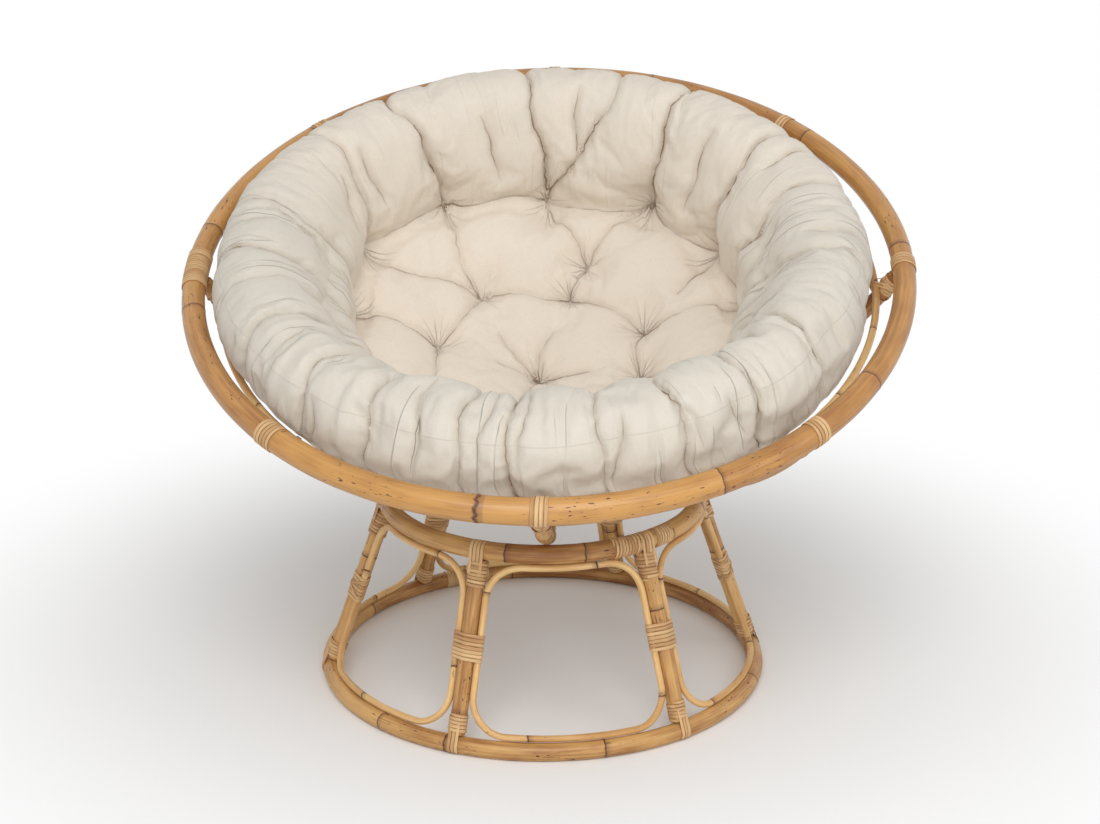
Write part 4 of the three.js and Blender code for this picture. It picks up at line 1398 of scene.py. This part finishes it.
# Knots where the roll's cover is bunched: azimuth and share of the way over the roll
ROLL_KNOTS = (
    (233, 0.60), (219, 0.88), (247, 0.80), (263, 0.66), (278, 0.86), (291, 0.62), (306, 0.84), (319, 0.50),
    (334, 0.78), (127, 0.55),
)


def pad_sphere():
    sizes = chosen("bowl")
    cushion = chosen("cushion")
    return hoop_radii()[1] - sizes.hoop_cane_radius - sizes.hoop_gap - cushion.underside_gap


def round_table(table, azimuths):
    """A value that a table gives at some azimuths, read softly at others all the way round."""
    rows = sorted((azimuth, value) for value, azimuth in table)
    places = np.radians([azimuth + 360 * lap for lap in (-1, 0, 1) for azimuth, _ in rows])
    values = [value for _ in range(3) for _, value in rows]
    near = (np.asarray(azimuths) % TURN)[..., None] + np.radians([-8, -4, 0, 4, 8])
    return np.interp(near, places, values).mean(-1)


def spline(rows, points_each):
    """Catmull-Rom curve down through rows of points, with its distance along for each column."""
    padded = np.concatenate([2 * rows[:1] - rows[1:2], rows, 2 * rows[-1:] - rows[-2:-1]])
    ways = np.linspace(0, 1, points_each, endpoint=False)[:, None, None]
    found = []
    for i in range(1, len(padded) - 2):
        before, start, end, after = padded[i - 1 : i + 3]
        found.append(
            0.5 * (
                2 * start
                + (end - before) * ways
                + (2 * before - 5 * start + 4 * end - after) * ways**2
                + (3 * start - before - 3 * end + after) * ways**3
            )
        )
    return np.vstack([*found, rows[-1:]])


def tuft_ring_angle(azimuths):
    """Angle off the bowl's pole of the roll's foot, where the outer tufts are."""
    return np.radians(round_table(OUTER_TUFTS, azimuths))


class PadSurface:
    """The cushion's plain shape before it is tufted, in the bowl's own frame.

    Columns are azimuths, and rows go from the middle of the seat over the roll to its outer edge,
    and on to the middle below.
    """

    columns = 720

    def __init__(self):
        cushion = chosen("cushion")
        azimuths = np.linspace(0, TURN, self.columns + 1)
        sphere = pad_sphere()
        drop = rim_drop()
        self.ring = tuft_ring_angle(azimuths)
        outward = outward_at(azimuths)
        rows = []
        steps = 12
        for part in np.arange(steps) / steps:
            sink = cushion.foot_sink * part**6
            rows.append(sphere_direction(self.ring * part, azimuths) * (sphere - cushion.thickness + sink))
        foot = sphere - cushion.thickness + cushion.foot_sink
        rows.append(sphere_direction(self.ring, azimuths) * foot)
        foot_row = len(rows) - 1
        front = 0.5 - 0.5 * np.sin(azimuths)
        tall = cushion.back_height + (cushion.front_height - cushion.back_height) * front
        widest = sphere * np.sin(self.ring).max()
        for i, (radius_share, height_share) in enumerate(ROLL_SHARES):
            way = i / (len(ROLL_SHARES) - 1)
            narrower = (widest - sphere * np.sin(self.ring)) * (1 - way) ** 4
            radius = cushion.radius * radius_share - narrower
            row = outward * radius[:, None] + UP * (tall * height_share - drop)[:, None]
            row[:, 0] -= cushion.lean * min(1, 2 * way)
            rows.append(row)
            if i == SEAM_KNOT:
                seam_row = len(rows) - 1
        edge_row = len(rows)
        edge = math.acos((drop + cushion.edge_drop) / sphere)
        for part in np.linspace(1, 0, steps):
            rows.append(sphere_direction(np.full_like(azimuths, edge * part), azimuths) * sphere)
        each = 12
        self.grid = spline(np.array(rows), each)
        self.foot_row, self.seam_row, self.edge_row = foot_row * each, seam_row * each, edge_row * each
        self.run = np.array([run_length(self.grid[:, k]) for k in range(self.columns + 1)]).T

    def column(self, azimuths):
        place = (azimuths % TURN) / TURN * self.columns
        left = np.minimum(np.floor(place).astype(int), self.columns - 1)
        return left, place - left

    def points(self, parts, azimuths, below=False):
        """Points at a part, 0 to 1, of the way from the middle to the outer edge."""
        parts, azimuths = np.asarray(parts, float), np.asarray(azimuths, float)
        left, across = self.column(azimuths)
        found = np.empty((len(parts), 3))
        for k in np.unique(left):
            here = left == k
            ends = []
            for side in (k, k + 1):
                run = self.run[:, side]
                edge = run[self.edge_row]
                place = run[-1] - parts[here] * (run[-1] - edge) if below else parts[here] * edge
                ends.append(at_lengths(self.grid[:, side], run, place))
            found[here] = ends[0] + (ends[1] - ends[0]) * across[here, None]
        return found

    def part_of(self, row, azimuths):
        """Part of the way to the edge at which the roll's foot or its seam lies."""
        left, _ = self.column(np.asarray(azimuths, float))
        return self.run[row, left] / self.run[self.edge_row, left]

    def foot_part(self, azimuth):
        return float(self.part_of(self.foot_row, azimuth % TURN))

    def tuft_place(self, angle, azimuth):
        """Part and azimuth, in radians, of a tuft given in degrees."""
        azimuth = math.radians(azimuth)
        ring = float(tuft_ring_angle(np.array(azimuth)))
        return math.radians(angle) / ring * self.foot_part(azimuth), azimuth


def disc_lattice(rings):
    """Points of a disc in rings of 6, 12, 18 and so on, as part and azimuth, with its triangles."""
    parts, azimuths = [0.0], [0.0]
    for ring in range(1, rings + 1):
        for j in range(6 * ring):
            parts.append(ring / rings)
            azimuths.append(TURN * j / (6 * ring))
    faces = []
    for outer in range(1, rings + 1):
        inner = outer - 1
        first_inner = 1 + 3 * inner * (inner - 1) if inner else 0
        first_outer = 1 + 3 * outer * (outer - 1)
        size_inner, size_outer = max(1, 6 * inner), 6 * outer
        for sector in range(6):
            for j in range(outer):
                a = first_outer + (sector * outer + j) % size_outer
                b = first_outer + (sector * outer + j + 1) % size_outer
                c = first_inner + (sector * inner + j) % size_inner
                faces.append((a, b, c))
                if j < inner:
                    d = first_inner + (sector * inner + j + 1) % size_inner
                    faces.append((c, b, d))
    return np.array(parts), np.array(azimuths), faces


class Creases:
    """Lines along which the cover is drawn in, as points with a depth and a hold at each."""

    def __init__(self, surface):
        cushion = chosen("cushion")
        rng = np.random.default_rng(8)
        self.surface = surface
        outer = [surface.tuft_place(*tuft) for tuft in OUTER_TUFTS]
        inner = [surface.tuft_place(*tuft) for tuft in INNER_TUFTS]
        knots = []
        for azimuth, way in ROLL_KNOTS:
            foot = surface.foot_part(math.radians(azimuth))
            knots.append((foot + (1 - foot) * way, math.radians(azimuth)))
        self.tufts = outer + inner + knots
        self.tightness = np.array([1.0] * (len(outer) + len(inner)) + [cushion.knot_share] * len(knots))
        lines = self.seat_lines(outer, inner, rng) + self.roll_lines(rng) + self.gather_lines(rng)
        runs = [surface.points(parts, azimuths) for parts, azimuths, _, _ in lines]
        self.points = np.vstack(runs)
        self.ahead = np.vstack([np.gradient(run, axis=0) for run in runs])
        self.depth = np.concatenate([depth for _, _, depth, _ in lines])
        self.hold = np.concatenate([hold for _, _, _, hold in lines])

    def seat_lines(self, outer, inner, rng):
        """Creases from tuft to tuft, straight on the cover laid flat but for a slight bend."""
        seat_crease = chosen("cushion").seat_crease

        def flat(number):
            part, azimuth = inner[number - 100] if number >= 100 else outer[number]
            return part * np.array([math.cos(azimuth), math.sin(azimuth)])

        found = []
        round_foot = [(i, (i + 1) % len(outer), 1.0) for i in range(len(outer))]
        for first, second, reach in (*round_foot, *SEAT_CREASES):
            start, end = flat(first), flat(second)
            ways = np.linspace(0, reach, 120)
            side = np.array([start[1] - end[1], end[0] - start[0]])
            bend = rng.normal(0, 0.05) * np.sin(math.pi * ways) + rng.normal(0, 0.02) * np.sin(TURN * ways)
            line = start + (end - start) * ways[:, None] + side * bend[:, None]
            parts = np.hypot(line[:, 0], line[:, 1])
            azimuths = np.arctan2(line[:, 1], line[:, 0])
            middle = 4 * ways * (1 - ways) if reach == 1.0 else ways / reach
            found.append((parts, azimuths, seat_crease * (1 - 0.45 * middle), 0.9 - 0.25 * middle))
        return found

    def roll_lines(self, rng):
        """Creases over the roll, and its short folds."""
        found = []
        for foot, crown, edge, deep in ROLL_CREASES:
            found.append(self.over_roll((foot, crown, edge), (0, 0.45, 1), deep, rng))
        for start, first, end, last in LOOSE_FOLDS:
            ways = (min(first, last), max(first, last))
            azimuths = (start, end) if first < last else (end, start)
            found.append(self.fold(azimuths, ways, chosen("cushion").loose_fold, rng))
        return found

    def gather_lines(self, rng):
        """Short folds round the roll's outer side, deepest in front."""
        cushion = chosen("cushion")
        found = []
        for i in range(cushion.gathers):
            azimuth = 360 * (i + rng.uniform(-0.5, 0.5)) / cushion.gathers
            ways = (rng.uniform(0.40, 0.78), rng.uniform(0.85, 1.0))
            in_front = smooth(-math.sin(math.radians(azimuth)), 0.5, 0.95)
            deep = cushion.loose_fold * rng.uniform(0.2, 1.2) * (0.3 + 0.7 * in_front)
            found.append(self.fold((azimuth, azimuth + rng.normal(0, 2.5)), ways, deep, rng))
        return found

    def over_roll(self, azimuths, ways, deep, rng):
        """A crease that runs from the roll's foot over its crown to its outer edge."""
        cushion = chosen("cushion")
        start = self.surface.foot_part(math.radians(azimuths[0]))
        way = np.linspace(0, 1, 260)
        line = np.interp(way, ways, np.radians(azimuths))
        line = line + 0.012 * np.sin(way * 17 + rng.random() * TURN) * np.sin(math.pi * way)
        fade = 1 - 0.5 * smooth(way, 0.2, 0.45) - 0.1 * smooth(way, 0.75, 1)
        uneven = 1 + 0.22 * np.sin(way * rng.uniform(9, 15) + rng.random() * TURN)
        hold = 0.88 - 0.34 * smooth(way, 0.12, 0.42) - 0.12 * (1 - deep)
        return start + (1 - start) * way, line, cushion.roll_crease * deep * fade * uneven, hold

    def fold(self, azimuths, ways, depth, rng):
        """A short fold across a part of the roll."""
        azimuths = np.unwrap(np.radians(azimuths))
        start = self.surface.foot_part(azimuths[0])
        share_along = np.linspace(0, 1, 90)
        way = ways[0] + (ways[1] - ways[0]) * share_along
        line = azimuths[0] + (azimuths[1] - azimuths[0]) * share_along
        line = line + 0.008 * np.sin(way * 25 + rng.random() * TURN)
        fade = np.sin(math.pi * share_along) ** 0.6
        return start + (1 - start) * way, line, depth * fade, 0.5 * fade

    def nearest(self, points):
        """Index of the nearest point of a crease to each point, and the distance to it."""
        tree = KDTree(len(self.points))
        for i, point in enumerate(self.points):
            tree.insert(point, i)
        tree.balance()
        hits = [tree.find(point) for point in points]
        return np.array([hit[1] for hit in hits]), np.array([hit[2] for hit in hits])


class Cover:
    """The cushion's cover: a fine net over the top, joined at its edge to a coarse one below."""

    def __init__(self):
        cushion = chosen("cushion")
        self.surface = surface = PadSurface()
        reach = float(surface.run[surface.edge_row].mean())
        rings = 2 * int(reach / cushion.cover_step / 2)
        below_rings = rings // 2
        parts, azimuths, faces = disc_lattice(rings)
        under_parts, under_azimuths, under_faces = disc_lattice(below_rings)
        under_parts = under_parts * (1 - 0.5 / below_rings)
        top = surface.points(parts, azimuths)
        under = surface.points(under_parts, under_azimuths, True)
        shift = len(parts)
        self.points = np.vstack([top, under])
        self.parts = np.concatenate([parts, under_parts])
        self.azimuths = np.concatenate([azimuths, under_azimuths])
        self.below = np.arange(len(self.points)) >= shift
        self.faces = faces + [tuple(shift + corner for corner in reversed(face)) for face in under_faces]
        outside = shift - 6 * rings
        inside = len(self.points) - 6 * below_rings
        for i in range(6 * below_rings):
            here, after = inside + i, inside + (i + 1) % (6 * below_rings)
            first, middle, last = (outside + (2 * i + k) % (6 * rings) for k in range(3))
            self.faces += [(middle, first, here), (last, middle, after), (middle, here, after)]
        self.flat = outward_at(self.azimuths) * (self.parts * reach)[:, None]
        self.flat[self.below, 2] = 1.0
        self.rings = rings
        self.reach = reach

    def smoothed(self, points, share_moved):
        """Moves each point some of the way to the middle of its neighbours."""
        corners = np.array(self.faces)
        pairs = np.vstack([corners[:, [0, 1]], corners[:, [1, 2]], corners[:, [2, 0]]])
        total, number = np.zeros_like(points), np.zeros(len(points))
        for here, there in (pairs.T, pairs.T[::-1]):
            np.add.at(total, here, points[there])
            np.add.at(number, here, 1)
        return points + (total / number[:, None] - points) * share_moved

    def normals(self):
        mesh = bpy.data.meshes.new("cover_normals")
        mesh.from_pydata(self.points.tolist(), [], self.faces)
        found = read_vectors(mesh.vertices, "normal")
        bpy.data.meshes.remove(mesh)
        return found


def blow_up(start, faces, hold, spare):
    """Runs Blender's cloth on the cover; spare is how much larger its cloth is cut at each point."""
    cushion = chosen("cushion")
    piece = add_mesh("cover_cloth", start, faces)

    def add_group(name, values):
        group = piece.vertex_groups.new(name=name)
        levels = np.round(values, 2)
        for level in np.unique(levels):
            if level > 0:
                group.add(np.flatnonzero(levels == level).tolist(), float(level), "REPLACE")
        return name

    cloth = piece.modifiers.new("Cloth", "CLOTH")
    settings = cloth.settings
    settings.quality = 5
    settings.mass = 0.1
    settings.tension_stiffness = 15
    settings.compression_stiffness = 12
    settings.shear_stiffness = 5
    settings.bending_stiffness = 0.2
    settings.air_damping = 1
    settings.vertex_group_mass = add_group("held", hold)
    settings.pin_stiffness = 3
    least, most = float(spare.min()), float(spare.max())
    settings.vertex_group_shrink = add_group("scant", (most - spare) / (most - least))
    settings.shrink_min = -most
    settings.shrink_max = -least
    settings.use_pressure = True
    settings.uniform_pressure_force = cushion.pressure
    settings.effector_weights.gravity = 0
    cloth.collision_settings.use_collision = False
    cloth.collision_settings.use_self_collision = False
    cloth.point_cache.frame_start = 1
    cloth.point_cache.frame_end = cushion.frames
    scene = bpy.context.scene
    for number in range(1, cushion.frames + 1):
        scene.frame_set(number)
    evaluated = piece.evaluated_get(bpy.context.evaluated_depsgraph_get())
    found = read_vectors(evaluated.data.vertices, "co")
    scene.frame_set(1)
    mesh = piece.data
    bpy.data.objects.remove(piece)
    bpy.data.meshes.remove(mesh)
    return found


def keep_clear(points):
    """Keeps the cover off the hoops below it and off the rim round it."""
    sizes = chosen("bowl")
    sphere = pad_sphere()
    reach = np.linalg.norm(points, axis=1, keepdims=True)
    points = np.where(reach > sphere, points * sphere / reach, points)
    out = np.hypot(points[:, 0], points[:, 1])
    across, above = out - sizes.rim_radius, points[:, 2] + rim_drop()
    away = np.hypot(across, above)
    clear = sizes.rim_front_pole + chosen("cushion").rim_clearance
    push = np.where(away < clear, clear - away, 0.0)
    points[:, :2] *= (1 + (across / away * push / out))[:, None]
    points[:, 2] += above / away * push
    return points


# Waves round the roll from which its folds grow, and how uneven the cover is besides
RIPPLE_WAVES = (61, 83, 107, 149)
UNEVEN = 0.4 * MM
# Distances from a tuft over which its rays fade, and lead over the next tuft at which they show
RAY_FADE = (2 * MM, 55 * MM)
RAY_LEAD = (4 * MM, 24 * MM)
# A distance from the seam, in mm, at which nothing of it shows
NO_SEAM = 100


class Tucks:
    """How the tufts and creases draw the cover in, and what else they do to it at each point."""

    def __init__(self, cover):
        self.cover = cover
        self.creases = creases = Creases(cover.surface)
        self.top = ~cover.below
        self.index, away = creases.nearest(cover.points)
        snap = self.top & (away < 0.42 * chosen("cushion").cover_step)
        self.placed = np.where(snap[:, None], creases.points[self.index], cover.points)
        self.away = np.where(snap, 0.0, away)
        self.tufts = cover.surface.points(*np.array(creases.tufts).T)
        from_tuft = np.linalg.norm(cover.points[:, None] - self.tufts[None], axis=-1)
        self.tuft = from_tuft.argmin(1)
        self.to_tuft, self.to_second = np.partition(from_tuft, 1, axis=1)[:, :2].T
        self.tightness = creases.tightness[self.tuft]
        self.in_front = smooth(-np.sin(cover.azimuths), 0.3, 0.8)

    def pull(self):
        """How far each point is drawn in."""
        cushion, cover = chosen("cushion"), self.cover
        near_tuft = np.exp(-((self.to_tuft / cushion.tuft_spread) ** 1.3))
        tuft_pull = cushion.tuft_depth * self.tightness * near_tuft
        crease_pull = self.creases.depth[self.index] * np.exp(-((self.away / cushion.crease_spread) ** 1.2))
        pull = tuft_pull + crease_pull
        through = unit(self.tufts[self.creases.tightness == 1]) * pad_sphere()
        to_through = np.linalg.norm(cover.points[cover.below, None] - through[None], axis=-1).min(1)
        dent = np.exp(-((to_through / cushion.under_spread) ** 1.2))
        gather = np.sin(cover.azimuths[cover.below] * cushion.gathers)
        gather = gather * smooth(cover.parts[cover.below], 0.6, 0.9)
        pull[cover.below] = cushion.under_tuft * dent + cushion.under_gather * (0.5 + 0.5 * gather) ** 2
        return pull

    def ripple(self, rng):
        """Low waves over the roll, highest in front."""
        parts, azimuths = self.cover.parts, self.cover.azimuths
        ripple = np.zeros(len(parts))
        for waves in RIPPLE_WAVES:
            phase = rng.random() * TURN + parts * rng.uniform(-9, 9)
            patch = np.sin(azimuths * rng.integers(3, 9) + rng.random() * TURN)
            ripple += np.sin(azimuths * waves + phase) * patch
        height = chosen("cushion").ripple
        return ripple * (height * smooth(parts, 0.5, 0.62) * self.top * (0.25 + 0.75 * self.in_front))

    def hold(self):
        """How firmly each point stays where it is while the cover is blown up."""
        step = chosen("cushion").cover_step
        hold = np.where(self.away < 0.5 * step, self.creases.hold[self.index], 0.0)
        hold = np.maximum(hold, np.where(self.to_tuft < 0.7 * step, self.tightness, 0.0))
        hold[self.cover.below | (self.cover.parts > 1 - 1.5 / self.cover.rings)] = 1.0
        return hold

    def spare(self):
        """How much larger the cloth is cut at each point: most on the front of the roll."""
        cushion = chosen("cushion")
        rolled = smooth(self.cover.parts, 0.45, 0.6)
        extra = cushion.roll_spare - cushion.seat_spare
        return cushion.seat_spare + extra * rolled * (0.1 + 0.9 * self.in_front)

    def attributes(self):
        """What the cotton's material reads; the places of creases are worked out later."""
        cover = self.cover
        lead = smooth(self.to_second - self.to_tuft, *RAY_LEAD)
        rays = lead * (1 - smooth(self.to_tuft, *RAY_FADE)) * (self.tightness == 1)
        seam_part = cover.surface.part_of(cover.surface.seam_row, cover.azimuths)
        seam = (cover.parts - seam_part) * cover.reach / MM
        seam[cover.below] = NO_SEAM
        places = np.array(self.creases.tufts)
        centres = outward_at(places[:, 1]) * (places[:, 0] * cover.reach)[:, None]
        from_centre = unit(cover.flat * (1, 1, 0) - centres[self.tuft] + (1e-6, 0, 0))
        star = np.stack([from_centre[:, 0] + 5 * self.tuft, from_centre[:, 1], rays], -1)
        around = outward_at(cover.azimuths) * smooth(cover.parts, 0.0, 0.5)[:, None]
        around[:, 2] = cover.parts * cover.reach + cover.below
        # Painted light: shares of the lighter, warmer colour painted on the seat and on the back; the first
        # also marks the seat
        seat_painted_light = 1 - smooth(cover.parts, 0.42, 0.62)
        back_painted_light = 0.6 * smooth(np.sin(cover.azimuths), -0.2, 0.6)
        folds = np.stack([np.maximum(seat_painted_light, back_painted_light), self.top * 1.0, seam], -1)
        return {"cloth": cover.flat, "folds": folds, "dip": cover.points, "star": star, "round": around}


def read_vectors(values, name="vector"):
    found = np.empty(len(values) * 3, np.float32)
    values.foreach_get(name, found)
    return found.reshape(-1, 3).astype(float)


def sharpen(mesh, creases):
    """Draws each crease's very line in, with a lip along one side, and notes where the lines run."""
    cushion = chosen("cushion")
    points, normals = read_vectors(mesh.vertices, "co"), read_vectors(mesh.vertices, "normal")
    on_top = read_vectors(mesh.attributes["folds"].data)[:, 1]
    plain = read_vectors(mesh.attributes["dip"].data)
    index, away = creases.nearest(plain)
    strength = np.clip(creases.depth[index] / cushion.seat_crease, 0, 1) * on_top
    across = np.cross(creases.ahead[index], plain - creases.points[index])
    side = np.where(np.sum(across * normals, -1) > 0, 1.0, -1.0)
    edge = cushion.crease_edge
    drawn = edge * np.exp(-away / edge)
    lip = cushion.crease_lip * np.exp(-(((away - 1.6 * edge) / edge) ** 2))
    points = points + normals * (strength * (lip * (side > 0) - drawn))[:, None]
    dip = np.stack([side * away / MM, strength, away / MM], -1)
    mesh.attributes["dip"].data.foreach_set("vector", dip.astype(np.float32).ravel())
    mesh.vertices.foreach_set("co", bowl_point(keep_clear(points)).astype(np.float32).ravel())
    mesh.update()


class PAPASAN_OT_cushion(bpy.types.Operator):
    """Build the tufted cushion and blow up its cover"""

    bl_idname = "papasan.cushion"
    bl_label = "Cushion"

    def execute(self, context):
        cushion = chosen("cushion")
        rng = np.random.default_rng(3)
        cover = Cover()
        tucks = Tucks(cover)
        uneven = tucks.ripple(rng) - tucks.pull() + rng.normal(0, UNEVEN, len(cover.points))
        final = start = tucks.placed + cover.normals() * uneven[:, None]
        moved = blow_up(start, cover.faces, tucks.hold(), tucks.spare()) - start
        far = np.linalg.norm(moved, axis=1, keepdims=True)
        final = start + moved * np.minimum(1, cushion.most_swell / np.maximum(far, 1e-9))
        final = keep_clear(cover.smoothed(final, cushion.smoothing))

        piece = add_mesh("cushion_pad", final, cover.faces, tucks.attributes())
        piece.modifiers.new("Finer", "SUBSURF").levels = 1
        graph = bpy.context.evaluated_depsgraph_get()
        finer = bpy.data.meshes.new_from_object(piece.evaluated_get(graph))
        piece.modifiers.clear()
        piece.data = finer
        sharpen(finer, tucks.creases)
        dress(piece, "cushion", "cushion_cotton", "cushion")
        return {"FINISHED"}


# Stage

FLOOR_RADIUS = 7.0
FLOOR_SIDES = 64
# Distances from the middle between which the floor turns into plain white
FLOOR_FADE = (0.4, 1.2)
# Each lamp's place, its target's height and its size, in metres
LAMPS = {
    "key": ((0.1, -2.6, 2.9), 0.4, 2.4),
    "fill": ((2.6, -1.6, 1.9), 0.4, 2.0),
    "low": ((0.4, -3.4, 0.9), 0.35, 2.4),
}


class PAPASAN_OT_stage(bpy.types.Operator):
    """Set up the floor, the light and the camera"""

    bl_idname = "papasan.stage"
    bl_label = "Stage"

    def floor(self):
        edge = outward_at(np.arange(FLOOR_SIDES) * TURN / FLOOR_SIDES) * FLOOR_RADIUS
        floor = add_mesh("studio_floor", edge, [tuple(range(FLOOR_SIDES))])
        material, tree, shader = new_material("studio_floor")
        shader.inputs["Base Color"].default_value = (0.9, 0.9, 0.9, 1)
        shader.inputs["Roughness"].default_value = 0.9
        shader.inputs["Specular IOR Level"].default_value = 0.0
        white = tree.add("Emission", (1, 1, 1, 1), 1.0).outputs[0]
        place = tree.add("NewGeometry").outputs["Position"]
        reach = tree.add("VectorMath", place, operation="LENGTH").outputs["Value"]
        fade = tree.step(reach, *FLOOR_FADE)
        seen = tree.add("LightPath").outputs
        shown = tree.most(seen["Is Camera Ray"], seen["Is Glossy Ray"])
        mix = tree.add("MixShader", fade * shown, shader.outputs[0], white)
        tree.feed(mix.outputs[0], material.node_tree.nodes["Material Output"].inputs["Surface"])
        floor.data.materials.append(material)

    def sky(self, strength):
        world = bpy.data.worlds.new("studio")
        world.use_nodes = True
        tree = Tree(world.node_tree)
        seen = tree.add("LightPath").outputs
        shown = tree.most(seen["Is Camera Ray"], seen["Is Glossy Ray"], seen["Is Transmission Ray"])
        level = tree.step(shown, 0.0, 1.0, strength, 1.0)
        background = world.node_tree.nodes["Background"]
        background.inputs["Color"].default_value = (1, 1, 1, 1)
        tree.feed(level, background.inputs["Strength"])
        bpy.context.scene.world = world

    def lamp(self, name, power):
        place, target_height, size = LAMPS[name]
        light = bpy.data.lights.new(name + "_light", "AREA")
        light.shape = "DISK"
        light.size = size
        light.energy = power
        lamp = bpy.data.objects.new(name + "_light", light)
        bpy.context.scene.collection.objects.link(lamp)
        lamp.location = place
        ahead = Vector((0, 0, target_height)) - Vector(place)
        lamp.rotation_euler = ahead.to_track_quat("-Z", "Y").to_euler()

    def camera(self, settings):
        camera = bpy.data.cameras.new("camera")
        camera.lens = settings.lens
        camera.sensor_width = 36.0
        camera.shift_x = settings.shift_x
        camera.shift_y = settings.shift_y
        holder = bpy.data.objects.new("camera", camera)
        bpy.context.scene.collection.objects.link(holder)
        azimuth, elevation = settings.azimuth, settings.elevation
        level = math.cos(elevation)
        back = Vector((math.sin(azimuth) * level, -math.cos(azimuth) * level, math.sin(elevation)))
        target = Vector(BASE_CENTRE + UP * settings.target_height)
        holder.location = target + back * settings.distance
        holder.rotation_euler = (-back).to_track_quat("-Z", "Y").to_euler()
        bpy.context.scene.camera = holder

    def execute(self, context):
        settings = chosen("stage")
        context.scene.view_settings.view_transform = "Standard"
        self.floor()
        self.sky(settings.sky)
        for name in LAMPS:
            self.lamp(name, getattr(settings, name + "_power"))
        self.camera(settings)
        return {"FINISHED"}


# Add-on

# The chair's steps, in the order in which they are made
STEPS = (
    PAPASAN_OT_stage,
    PAPASAN_OT_base_rings,
    PAPASAN_OT_legs,
    PAPASAN_OT_window_canes,
    PAPASAN_OT_leg_bindings,
    PAPASAN_OT_ring_splices,
    PAPASAN_OT_rim,
    PAPASAN_OT_ribs,
    PAPASAN_OT_hoops,
    PAPASAN_OT_rim_bindings,
    PAPASAN_OT_cushion,
)


class PAPASAN_PT_panel(bpy.types.Panel):
    """Buttons for the chair's steps"""

    bl_idname = "PAPASAN_PT_panel"
    bl_label = "Papasan chair"
    bl_space_type = "VIEW_3D"
    bl_region_type = "UI"
    bl_category = "Papasan"

    def draw(self, context):
        for step in STEPS:
            self.layout.operator(step.bl_idname)


SETTINGS = {
    "papasan_base": PapasanBaseSizes,
    "papasan_bowl": PapasanBowlSizes,
    "papasan_bindings": PapasanBindingSizes,
    "papasan_cushion": PapasanCushionSizes,
    "papasan_rattan": PapasanRattanLooks,
    "papasan_cotton": PapasanCottonLooks,
    "papasan_stage": PapasanStageSettings,
}

CLASSES = (*SETTINGS.values(), *STEPS, PAPASAN_PT_panel)


def register():
    for cls in CLASSES:
        bpy.utils.register_class(cls)
    for name, group in SETTINGS.items():
        setattr(bpy.types.Scene, name, bpy.props.PointerProperty(type=group))


def unregister():
    for name in SETTINGS:
        delattr(bpy.types.Scene, name)
    for cls in reversed(CLASSES):
        bpy.utils.unregister_class(cls)


def main():
    register()
    for step in STEPS:
        getattr(bpy.ops.papasan, step.bl_idname.removeprefix("papasan."))()


if __name__ == "__main__":
    main()
